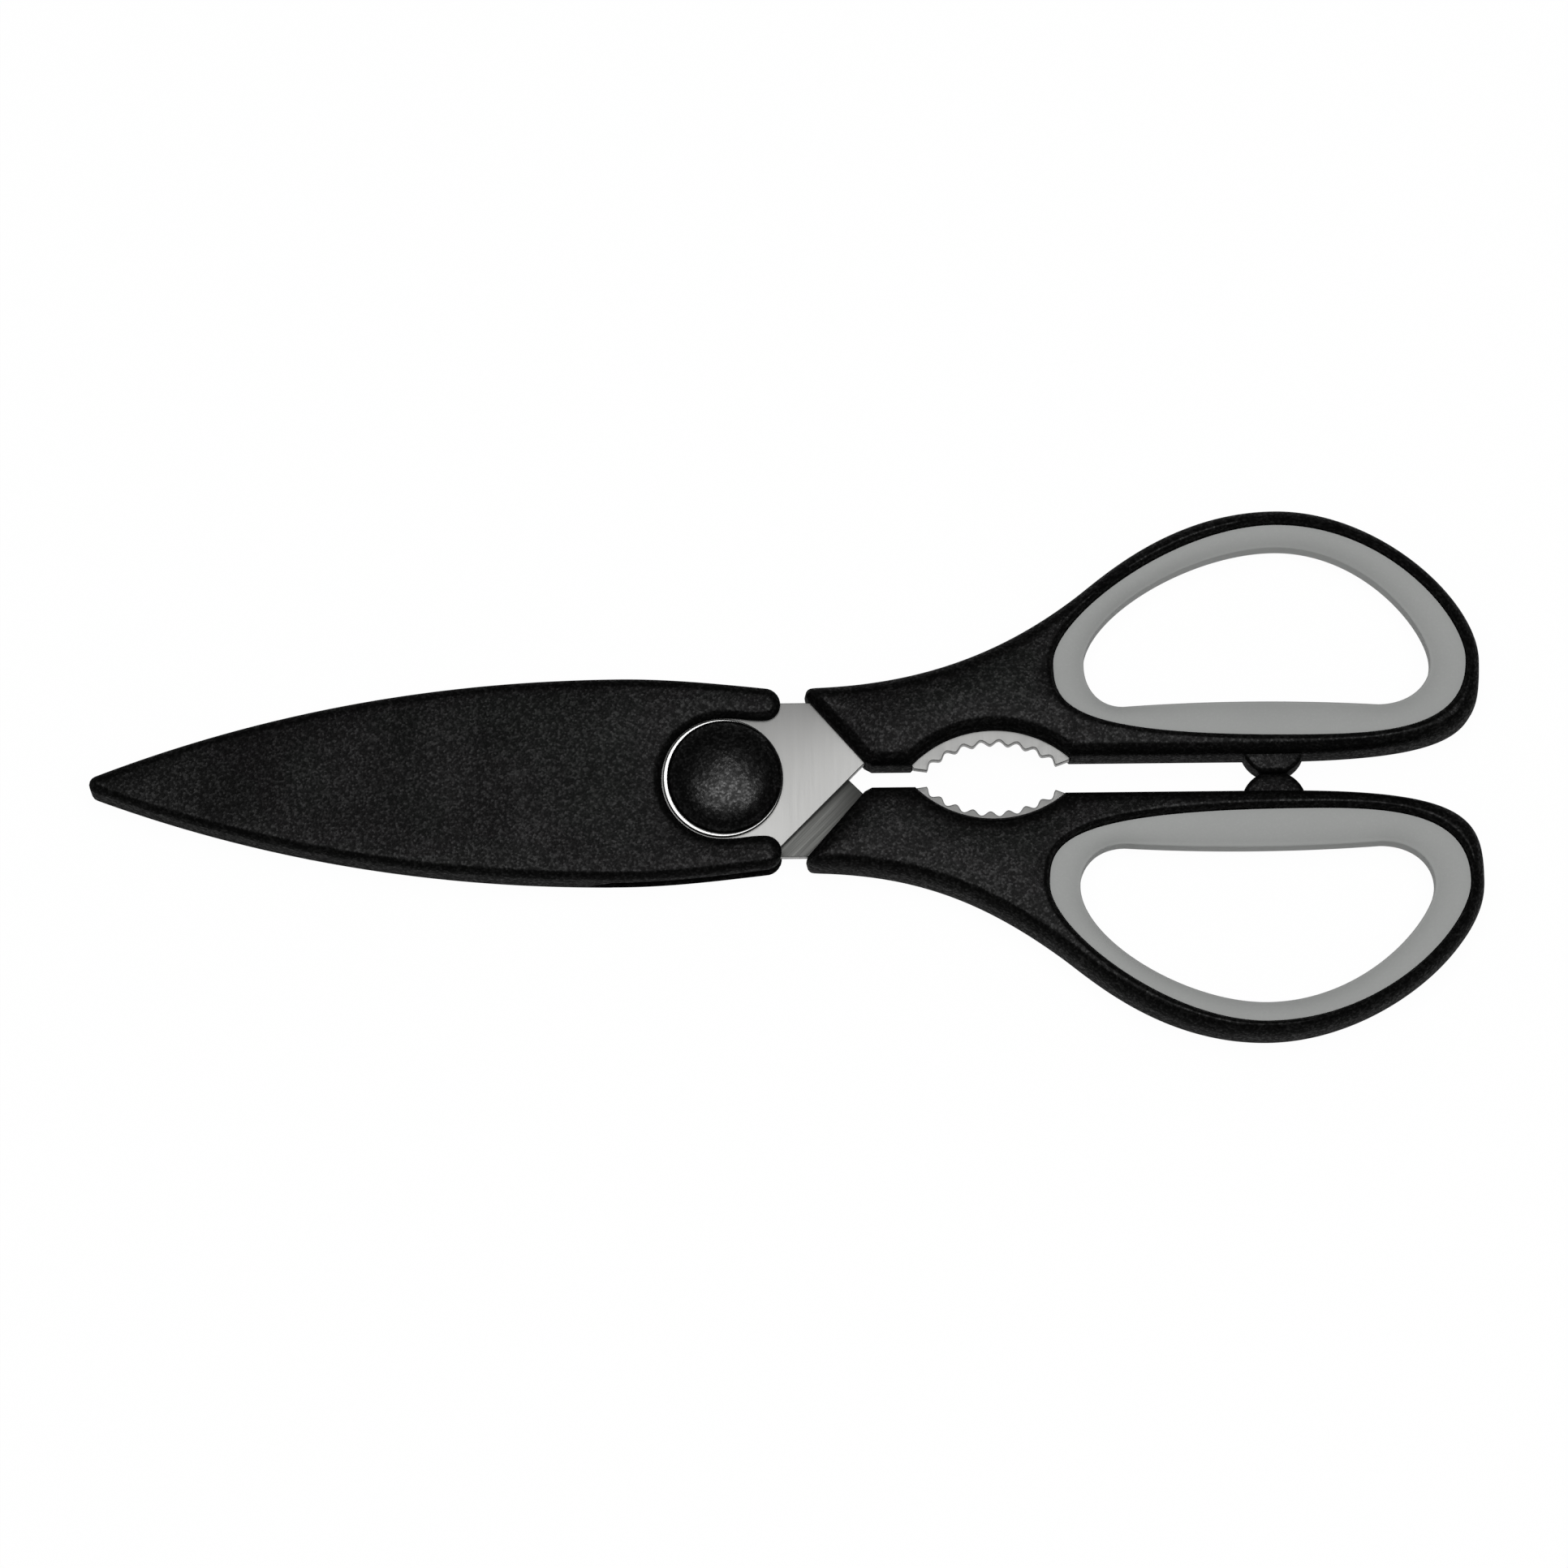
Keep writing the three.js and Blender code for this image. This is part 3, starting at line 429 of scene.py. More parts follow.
@dataclass
class Moulding:
    """Plate with rounded rims and slightly crowned faces on both sides of its middle plane."""

    outline: Ring
    half: float
    across: float
    down: float
    dip: float = 0.0
    reach: float = 0.0
    draft: float = 0.0
    recess: Ring | None = None
    lip: Span = (0.15, 0.15)
    lip_steps: int = 5
    steps: int = 8
    crown_shares: tuple[float, ...] = (0.12, 0.3, 0.55, 1.0)
    recess_room: float = 1.15
    recess_share: float = 0.96

    def height(self, inset: float) -> float:
        """Height of the face over the middle plane at a distance from the outline."""
        run = max(inset - self.draft, 0.0)
        rim = 0.0
        if run < self.across:
            rim = self.down * (1 - math.sqrt(1 - (1 - run / self.across) ** 2))
        crown = self.dip * (1 - min(run / self.reach, 1)) ** 2 if self.reach else 0.0
        return self.half - rim - crown

    def insets(self) -> list[float]:
        """Returns the distances from the outline at which the face gets a ring."""
        rings = [self.draft + self.across * (1 - math.cos(a)) for a in quarter(self.steps)]
        if self.reach > self.across:
            rest = self.reach - self.across
            rings += [self.draft + self.across + rest * share for share in self.crown_shares]
        return rings

    def limits(self) -> np.ndarray:
        """Returns how far each point of the outline may move inwards."""
        room = clearance(self.outline)
        if self.recess is not None:
            border = grown(self.recess, self.recess_room * self.lip[0])
            away = reach_to(border, flat(self.outline), unit(inward(self.outline)))
            room = np.minimum(room, self.recess_share * away)
        return room

    def face_ring(self, inset: float, deepest: float, limits: np.ndarray) -> Ring:
        """One ring of the face.

        Args:
            inset: Its distance from the outline where nothing is in the way.
            deepest: The same of the innermost ring.
            limits: How far each point may move.

        Returns:
            The points, each at the height that the face has there.
        """
        free = limits / 2
        squeezed = free + free * (inset - free) / np.maximum(deepest - free, TINY)
        moved = np.where((inset <= free) | (limits >= deepest), inset, squeezed)
        spots = flat(self.outline) + inward(self.outline) * moved[:, None]
        return [Vector((x, y, self.height(run))) for (x, y), run in zip(spots, moved)]

    def lip_height(self, point: Vector) -> float:
        """Returns the face's height at a point near the recess."""
        gaps = flat(self.outline) - np.array((point.x, point.y))
        return self.height(float(np.sqrt((gaps**2).sum(axis=1).min())))

    def build(self, middle: float) -> Shape:
        """Makes the plate.

        Args:
            middle: Height of its middle plane.

        Returns:
            The closed plate.
        """
        bm = bmesh.new()
        ring = lay_ring(bm, at_height(self.outline, 0.0))
        insets, limits = self.insets(), self.limits()
        for inset in insets:
            ring = raise_ring(bm, ring, self.face_ring(inset, insets[-1], limits))
        rim = ring_edges(bm, ring)
        if self.recess is not None:
            wall = lay_ring(bm, at_height(self.recess, 0.0))
            for angle in quarter(self.lip_steps):
                ring = grown(self.recess, self.lip[0] * (1 - math.cos(angle)))
                drop = self.lip[1] * (1 - math.sin(angle))
                spots = [Vector((p.x, p.y, self.lip_height(p) - drop)) for p in ring]
                wall = raise_ring(bm, wall, spots)
            rim += ring_edges(bm, wall)
        bmesh.ops.triangle_fill(bm, use_beauty=True, edges=rim)
        close_halves(bm)
        bmesh.ops.translate(bm, vec=(0, 0, middle), verts=bm.verts)
        return bm


def rough_object(name: str, bm: Shape) -> Piece:
    """Makes an object of a shape at the size it has, and frees the shape.

    Args:
        name: Name of the object and its mesh.
        bm: The shape, which is used up.

    Returns:
        The object.
    """
    mesh = bpy.data.meshes.new(name)
    bm.to_mesh(mesh)
    bm.free()
    piece = bpy.data.objects.new(name, mesh)
    bpy.context.collection.objects.link(piece)
    return piece


def take_shape(piece: Piece) -> Shape:
    """Takes the shape out of a helper object, and removes the object with its mesh.

    Args:
        piece: The helper object.

    Returns:
        Its shape.
    """
    bm, mesh = bmesh.new(), piece.data
    bm.from_mesh(mesh)
    bpy.data.objects.remove(piece)
    bpy.data.meshes.remove(mesh)
    return bm


def carve(piece: Piece, tool: Shape, cut: Cut) -> None:
    """Joins a shape to a piece or takes it away, and applies that to the piece's mesh.

    Args:
        piece: The piece, in millimetres.
        tool: The other closed shape, which is used up.
        cut: Which of the two is done.
    """
    cutter = rough_object("cutter", tool)
    work = piece.modifiers.new("carve", "BOOLEAN")
    work.operation = cut.value
    work.solver = "MANIFOLD"
    work.object = cutter
    shaped = piece.evaluated_get(bpy.context.evaluated_depsgraph_get())
    mesh = bpy.data.meshes.new_from_object(shaped)
    piece.modifiers.clear()
    old, piece.data = piece.data, mesh
    bpy.data.meshes.remove(old)
    take_shape(cutter).free()


def finish_piece(
    piece: Piece, body: str, node: str, materials: list[Material]
) -> Piece:
    """Brings a piece to metres, shades and dresses it, and lets it ride on its body.

    Args:
        piece: The finished shape in millimetres.
        body: Body that carries it.
        node: Solid that it stands for.
        materials: Finishes in the order of the mesh's material numbers.

    Returns:
        The same piece.
    """
    mesh = piece.data
    mesh.transform(Matrix.Scale(MILLIMETRE, 4))
    mesh.shade_smooth()
    mesh.set_sharp_from_angle(angle=SHARP_ANGLE)
    for index, material in enumerate(materials):
        if index < len(mesh.materials):
            mesh.materials[index] = material
        else:
            mesh.materials.append(material)
    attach(piece, body)
    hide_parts(node)
    log.info("%s rides on %s: %d faces", piece.name, body, len(mesh.polygons))
    return piece


class Tree:
    """Short ways to add and join nodes in one node tree."""

    NOISE_ROUGHNESS = 0.6

    def __init__(self, tree: bpy.types.NodeTree) -> None:
        """Keeps the tree that the nodes go into."""
        self.tree = tree

    def add(self, kind: str, inputs: dict | None = None, **settings: object) -> Node:
        """Adds a node.

        Args:
            kind: Blender's name for the node.
            inputs: Values or sockets for its inputs, by name or number.
            settings: The node's own settings.

        Returns:
            The node.
        """
        node = self.tree.nodes.new(kind)
        for name, value in settings.items():
            setattr(node, name, value)
        for name, value in (inputs or {}).items():
            if isinstance(value, Socket):
                self.tree.links.new(value, node.inputs[name])
            else:
                node.inputs[name].default_value = value
        return node

    def feed(self, value: Socket, node: Node, *names: str) -> None:
        """Joins a result to the named inputs of a node."""
        for name in names:
            self.tree.links.new(value, node.inputs[name])

    def math(self, operation: str, *values: object) -> Socket:
        """Returns the result of a Math node with these values or sockets."""
        node = self.add("ShaderNodeMath", dict(enumerate(values)), operation=operation)
        return node.outputs[0]

    def total(self, *shares: tuple[Socket, float]) -> Socket:
        """Returns the sum of two values, each times its share."""
        return self.math("ADD", *(self.math("MULTIPLY", *pair) for pair in shares))

    def spread(self, value: Socket, span: Span, to: Span = WHOLE) -> Socket:
        """Returns a value mapped from one range to another, and held there."""
        inputs = dict(enumerate((value, *span, *to)))
        return self.add("ShaderNodeMapRange", inputs).outputs[0]

    def noise(self, vector: Socket, scale: object, detail: float = 2.0) -> Socket:
        """Returns the value of a noise texture."""
        inputs = {"Vector": vector, "Scale": scale, "Detail": detail}
        inputs["Roughness"] = self.NOISE_ROUGHNESS
        return self.add("ShaderNodeTexNoise", inputs).outputs[0]


class Effects:
    """Surface effects that several finishes share, each made once as a node group."""

    FINE_GRAIN = 1.7
    FINE_GRAIN_SHARE = 0.8
    SPECK_SPAN = (0.1, 0.9)
    SPECK_POWER = 2.0
    BEND_SCALE = 30.0
    BEND_SHARE = 0.012
    SCRATCH_SPAN = (0.0, 0.012)
    PATCH_SCALE = 55.0
    PATCH_SPAN = (0.5, 0.68)
    CLOUD_SCALE = 45.0
    CLOUD_SPAN = (0.3, 0.7)
    SINK_SCALE = 75.0
    COARSE_LINES = 0.22
    FINE_LINE_SHARE = 0.6
    COARSE_LINE_SHARE = 0.4
    LINE_SPAN = (0.36, 0.64)

    @staticmethod
    def _group(name: str, inputs: list[str], outputs: list[str]) -> tuple[Tree, dict, Node]:
        """Starts a node group with a vector, some values and some results.

        Args:
            name: Name of the group.
            inputs: Names of the values that a material sets.
            outputs: Names of its results.

        Returns:
            Its tree, its input sockets by name, and its output node.
        """
        group = bpy.data.node_groups.new(name, "ShaderNodeTree")
        group.interface.new_socket("Vector", in_out="INPUT", socket_type="NodeSocketVector")
        for way, labels in (("INPUT", inputs), ("OUTPUT", outputs)):
            for label in labels:
                group.interface.new_socket(label, in_out=way, socket_type="NodeSocketFloat")
        tree = Tree(group)
        start = tree.add("NodeGroupInput")
        return tree, {s.name: s for s in start.outputs}, tree.add("NodeGroupOutput")

    @classmethod
    def spark_grain(cls) -> bpy.types.NodeTree:
        """Fine pitted grain of a spark-eroded mould: its height and a speckle of tone."""
        if "spark grain" in bpy.data.node_groups:
            return bpy.data.node_groups["spark grain"]
        tree, start, end = cls._group("spark grain", ["Scale"], ["Height", "Speckle"])
        inputs = {"Vector": start["Vector"], "Scale": start["Scale"]}
        pits = tree.add("ShaderNodeTexVoronoi", inputs, feature="SMOOTH_F1")
        finer = tree.math("MULTIPLY", start["Scale"], cls.FINE_GRAIN)
        fine = tree.noise(start["Vector"], finer, 3.0)
        fine = tree.math("MULTIPLY", fine, cls.FINE_GRAIN_SHARE)
        tree.feed(tree.math("ADD", pits.outputs["Distance"], fine), end, "Height")
        cells = tree.add("ShaderNodeSeparateColor", {0: pits.outputs["Color"]}).outputs[0]
        specks = tree.spread(cells, cls.SPECK_SPAN)
        tree.feed(tree.math("POWER", specks, cls.SPECK_POWER), end, "Speckle")
        return tree.tree

    @classmethod
    def handling(cls) -> bpy.types.NodeTree:
        """Marks of use and moulding: thin scratches, cloudy changes of gloss, broad sinks."""
        if "handling" in bpy.data.node_groups:
            return bpy.data.node_groups["handling"]
        results = ["Scratch", "Cloud", "Sink"]
        tree, start, end = cls._group("handling", ["Scale", "Amount"], results)
        place = start["Vector"]
        inputs = {"Vector": place, "Scale": cls.BEND_SCALE, "Detail": 1.0}
        bend = tree.add("ShaderNodeTexNoise", inputs)
        inputs = {"Fac": cls.BEND_SHARE, "Color1": place, "Color2": bend.outputs["Color"]}
        lean = tree.add("ShaderNodeMixRGB", inputs)
        inputs = {"Vector": lean.outputs[0], "Scale": start["Scale"]}
        cells = tree.add("ShaderNodeTexVoronoi", inputs, feature="DISTANCE_TO_EDGE")
        thin = tree.spread(cells.outputs["Distance"], cls.SCRATCH_SPAN, (1.0, 0.0))
        patches = tree.spread(tree.noise(place, cls.PATCH_SCALE), cls.PATCH_SPAN)
        scratch = tree.math("MULTIPLY", tree.math("MULTIPLY", thin, patches), start["Amount"])
        tree.feed(scratch, end, "Scratch")
        cloud = tree.spread(tree.noise(place, cls.CLOUD_SCALE, 3.0), cls.CLOUD_SPAN)
        tree.feed(cloud, end, "Cloud")
        tree.feed(tree.noise(place, cls.SINK_SCALE, 0.0), end, "Sink")
        return tree.tree

    @classmethod
    def brushing(cls) -> bpy.types.NodeTree:
        """Long fine lines left by a belt: their height and a streak of tone."""
        if "brushing" in bpy.data.node_groups:
            return bpy.data.node_groups["brushing"]
        tree, start, end = cls._group("brushing", ["Scale", "Length"], ["Height", "Streak"])
        length, scale = start["Length"], start["Scale"]
        squeeze = tree.add("ShaderNodeCombineXYZ", {0: length, 1: 1.0, 2: length})
        inputs = {0: start["Vector"], 1: squeeze.outputs[0]}
        drawn = tree.add("ShaderNodeVectorMath", inputs, operation="MULTIPLY").outputs[0]
        fine = tree.noise(drawn, scale, 3.0)
        coarse = tree.noise(drawn, tree.math("MULTIPLY", scale, cls.COARSE_LINES))
        both = tree.total((fine, cls.FINE_LINE_SHARE), (coarse, cls.COARSE_LINE_SHARE))
        tree.feed(both, end, "Height")
        tree.feed(tree.spread(both, cls.LINE_SPAN), end, "Streak")
        return tree.tree


@dataclass(frozen=True)
class Finish:
    """Base of the finishes: a named material around one Principled shader."""

    name: str
    tone: Tone
    roughness: float

    def _start(self) -> tuple[Material, Tree, Node, Socket]:
        """Makes an empty material.

        Returns:
            The material, its tree, its shader, and the Object coordinates.
        """
        material = bpy.data.materials.new(self.name)
        material.use_nodes = True
        tree = Tree(material.node_tree)
        shader = next(n for n in material.node_tree.nodes if n.type == "BSDF_PRINCIPLED")
        place = tree.add("ShaderNodeTexCoord")
        return material, tree, shader, place.outputs["Object"]

    def _shade(self, tree: Tree, value: Socket, span: Span) -> Socket:
        """Tone of the finish, darker and lighter by a value.

        Args:
            tree: Tree of the material.
            value: Socket between nought and one.
            span: Factors on the tone at nought and at one.

        Returns:
            The colour.
        """
        dark, light = ((*(c * factor for c in self.tone), 1.0) for factor in span)
        inputs = {"Fac": value, "Color1": dark, "Color2": light}
        return tree.add("ShaderNodeMixRGB", inputs).outputs[0]

    def _bump(
        self, tree: Tree, shader: Node, height: Socket, strength: float, depth: float
    ) -> None:
        """Lets a height shape the shader's normal.

        Args:
            tree: Tree of the material.
            shader: Its shader.
            height: Height between nought and one.
            strength: How much the normal follows it.
            depth: Depth in metres.
        """
        inputs = {"Strength": strength, "Distance": depth, "Height": height}
        bump = tree.add("ShaderNodeBump", inputs)
        tree.feed(bump.outputs[0], shader, "Normal", "Coat Normal")

    def _effect(
        self, tree: Tree, group: bpy.types.NodeTree, place: Socket, **values: float
    ) -> dict[str, Socket]:
        """Places a shared effect with its settings, and returns its results by name."""
        node = tree.add("ShaderNodeGroup", {"Vector": place, **values}, node_tree=group)
        return {s.name: s for s in node.outputs}


@dataclass(frozen=True)
class MouldedPlastic(Finish):
    """Black plastic with the fine grain of its mould, of which only a share is glossy."""

    shine: float
    shine_span: Span = (0.5, 2.3)
    grain_scale: float = 3000.0
    grain_depth: float = 0.000017
    grain_strength: float = 0.9
    sink_depth: float = 0.0005
    scratch_scale: float = 70.0
    scratch_amount: float = 0.35
    speck_tint: float = 0.7
    scratch_tint: float = 0.5
    tone_span: Span = (0.4, 1.8)
    uneven: float = 0.07
    cloud_share: float = 0.6
    speck_share: float = 0.4

    def make(self) -> Material:
        """Makes the material."""
        material, tree, shader, place = self._start()
        grain = self._effect(tree, Effects.spark_grain(), place, Scale=self.grain_scale)
        use = {"Scale": self.scratch_scale, "Amount": self.scratch_amount}
        marks = self._effect(tree, Effects.handling(), place, **use)
        specks = grain["Speckle"]
        tint = tree.total((specks, self.speck_tint), (marks["Scratch"], self.scratch_tint))
        tree.feed(self._shade(tree, tint, self.tone_span), shader, "Base Color")
        cloud = tree.total((marks["Cloud"], self.cloud_share), (specks, self.speck_share))
        rough = (self.roughness - self.uneven, self.roughness + self.uneven)
        tree.feed(tree.spread(cloud, WHOLE, rough), shader, "Roughness")
        gloss = tuple(share * self.shine for share in self.shine_span)
        tree.feed(tree.spread(specks, WHOLE, gloss), shader, "Coat Weight")
        shader.inputs["Coat Roughness"].default_value = self.roughness
        shader.inputs["Specular IOR Level"].default_value = 0.0
        sink = tree.math("MULTIPLY", marks["Sink"], self.sink_depth / self.grain_depth)
        height = tree.math("ADD", grain["Height"], sink)
        self._bump(tree, shader, height, self.grain_strength, self.grain_depth)
        return material


@dataclass(frozen=True)
class SoftGrip(Finish):
    """Grey soft plastic with a matt, slightly cloudy skin."""

    grain_scale: float = 4200.0
    grain_depth: float = 0.000012
    grain_strength: float = 0.2
    cloud_share: float = 0.6
    speck_share: float = 0.4
    tone_span: Span = (0.95, 1.05)
    uneven: float = 0.05
    gloss: float = 0.25

    def make(self) -> Material:
        """Makes the material."""
        material, tree, shader, place = self._start()
        grain = self._effect(tree, Effects.spark_grain(), place, Scale=self.grain_scale)
        cloud = self._effect(tree, Effects.handling(), place)["Cloud"]
        tint = tree.total((cloud, self.cloud_share), (grain["Speckle"], self.speck_share))
        tree.feed(self._shade(tree, tint, self.tone_span), shader, "Base Color")
        rough = (self.roughness - self.uneven, self.roughness + self.uneven)
        tree.feed(tree.spread(cloud, WHOLE, rough), shader, "Roughness")
        shader.inputs["Specular IOR Level"].default_value = self.gloss
        self._bump(tree, shader, grain["Height"], self.grain_strength, self.grain_depth)
        return material


@dataclass(frozen=True)
class BrushedSteel(Finish):
    """Steel with belt lines in one direction, in another tone at the jaw if one is given."""

    angle: float
    streak: float
    line_scale: float = 6000.0
    line_depth: float = 0.000004
    line_length: float = 0.02
    line_strength: float = 0.3
    streak_share: float = 0.8
    cloud_share: float = 0.2
    uneven: float = 0.06
    jaw_tone: Tone | None = None
    jaw_from: Span = (0.028, 0.03)

    def make(self) -> Material:
        """Makes the material."""
        material, tree, shader, place = self._start()
        turn = (0.0, 0.0, math.radians(self.angle))
        lie = tree.add("ShaderNodeMapping", {"Vector": place, "Rotation": turn}).outputs[0]
        draw = {"Scale": self.line_scale, "Length": self.line_length}
        lines = self._effect(tree, Effects.brushing(), lie, **draw)
        cloud = self._effect(tree, Effects.handling(), place)["Cloud"]
        tint = tree.total((lines["Streak"], self.streak_share), (cloud, self.cloud_share))
        shade = self._shade(tree, tint, (1 - self.streak, 1 + self.streak))
        if self.jaw_tone is not None:
            along = tree.add("ShaderNodeSeparateXYZ", {0: place}).outputs[0]
            jaw = tree.spread(along, self.jaw_from)
            inputs = {"Fac": jaw, "Color1": shade, "Color2": (*self.jaw_tone, 1.0)}
            shade = tree.add("ShaderNodeMixRGB", inputs).outputs[0]
        tree.feed(shade, shader, "Base Color")
        rough = (self.roughness + self.uneven, self.roughness - self.uneven)
        tree.feed(tree.spread(lines["Streak"], WHOLE, rough), shader, "Roughness")
        shader.inputs["Metallic"].default_value = 1.0
        self._bump(tree, shader, lines["Height"], self.line_strength, self.line_depth)
        return material


@dataclass(frozen=True)
class TurnedSteel(Finish):
    """Bright steel with the fine rings of turning about the pivot axis."""

    ring_scale: float = 3200.0
    ring_depth: float = 0.000003
    ring_strength: float = 0.2
    ring_share: float = 0.7
    cloud_share: float = 0.3
    tone_span: Span = (0.9, 1.1)
    tint_span: Span = (0.3, 0.7)
    polish: Span = (-0.04, 0.06)

    def make(self) -> Material:
        """Makes the material."""
        material, tree, shader, place = self._start()
        split = tree.add("ShaderNodeSeparateXYZ", {0: place}).outputs
        square = tree.math("ADD", *(tree.math("POWER", split[i], 2.0) for i in (0, 1)))
        inputs = {"W": tree.math("SQRT", square), "Scale": self.ring_scale, "Detail": 2.0}
        rings = tree.add("ShaderNodeTexNoise", inputs, noise_dimensions="1D").outputs[0]
        cloud = self._effect(tree, Effects.handling(), place)["Cloud"]
        tint = tree.total((rings, self.ring_share), (cloud, self.cloud_share))
        tree.feed(self._shade(tree, tint, self.tone_span), shader, "Base Color")
        rough = tuple(self.roughness + step for step in self.polish)
        tree.feed(tree.spread(tint, self.tint_span, rough), shader, "Roughness")
        shader.inputs["Metallic"].default_value = 1.0
        self._bump(tree, shader, rings, self.ring_strength, self.ring_depth)
        return material


@dataclass
class Finishes:
    """All finishes of the shears, made once."""

    black: Tone = (0.0043, 0.0043, 0.0042)
    # Painted shade: the cap's black is darker than the other black plastic so that the dome's sides
    # stay dark.
    cap_shade_black: Tone = (0.0015, 0.0015, 0.0015)
    grey: Tone = (0.3, 0.306, 0.3)
    satin_steel: Tone = (0.21, 0.21, 0.206)
    # Painted shade: the inner blade face is far darker than the satin face, standing in for the
    # shade on the rear blade's strip under the front blade; towards the jaw it turns to the jaw
    # tone.
    inner_shade_steel: Tone = (0.034, 0.0344, 0.033)
    jaw_steel: Tone = (0.16, 0.16, 0.157)
    edge_steel: Tone = (0.2, 0.199, 0.194)
    washer_steel: Tone = (0.3, 0.3, 0.297)
    # Painted shade: the washer's rounded rim is near black, standing in for the shade of the notch
    # around it.
    rim_steel: Tone = (0.02, 0.02, 0.02)
    bolt_steel: Tone = (0.4, 0.4, 0.39)
    sheath: Material = field(init=False)
    handle: Material = field(init=False)
    cap: Material = field(init=False)
    grip: Material = field(init=False)
    satin: Material = field(init=False)
    inner_shade: Material = field(init=False)
    edge: Material = field(init=False)
    bright: Material = field(init=False)
    rim: Material = field(init=False)
    dull: Material = field(init=False)

    def __post_init__(self) -> None:
        """Makes the materials."""
        self.sheath = MouldedPlastic("sheath plastic", self.black, 0.27, shine=0.077).make()
        self.handle = MouldedPlastic("handle plastic", self.black, 0.27, shine=0.09).make()
        # The cap plastic's darker black is painted shade on the dome's sides.
        self.cap = MouldedPlastic(
            "cap plastic", self.cap_shade_black, 0.27, shine=0.32, sink_depth=0.0001
        ).make()
        self.grip = SoftGrip("grey grip", self.grey, 0.72).make()
        self.satin = BrushedSteel(
            "satin blade face",
            self.satin_steel,
            0.48,
            angle=90.0,
            streak=0.01,
            uneven=0.015,
            jaw_tone=self.jaw_steel,
        ).make()
        # Inner blade face: brushed steel with a near-black tone as painted shade, turning to the
        # jaw tone at the jaw.
        self.inner_shade = BrushedSteel(
            "inner blade face painted shade",
            self.inner_shade_steel,
            0.4,
            angle=-45.0,
            streak=0.35,
            line_scale=3000.0,
            line_depth=0.000012,
            jaw_tone=self.jaw_steel,
        ).make()
        self.edge = BrushedSteel(
            "stamped blade edge", self.edge_steel, 0.34, angle=90.0, streak=0.15
        ).make()
        self.bright = TurnedSteel("bright washer", self.washer_steel, 0.3).make()
        # Washer rim: turned steel at a near-black tone as painted shade.
        self.rim = TurnedSteel("washer rim painted shade", self.rim_steel, 0.5).make()
        self.dull = TurnedSteel("bolt steel", self.bolt_steel, 0.35).make()


@dataclass(frozen=True)
class Layout:
    """Places that several pieces share, in millimetres."""

    middle: float = 6.0
    running_gap: float = 0.2
    fit_gap: float = 0.2
    blade_thickness: float = 2.0
    boss_radius: float = 13.0
    washer_radius: float = 10.12
    mouth_half_width: float = 15.45
    nose: Span = (23.424, 2.4)
    nose_cut: float = 1.3
    nose_gap: float = 1.7
    centre_gap: float = 2.9
    jaw_centre: Span = (45.324, -11.4)
    jaw_radius: float = 16.9
    jaw_show: float = 2.2
    lower_jaw_show: float = 1.7
    opening_front: float = 60.124
    loop_lean: float = 1.4
    far: float = 40.0

    @property
    def blade_bottom(self) -> float:
        """Height of the inner face of the front blade."""
        return self.middle + self.running_gap / 2

    @property
    def blade_top(self) -> float:
        """Height of the outer face of the front blade."""
        return self.blade_bottom + self.blade_thickness


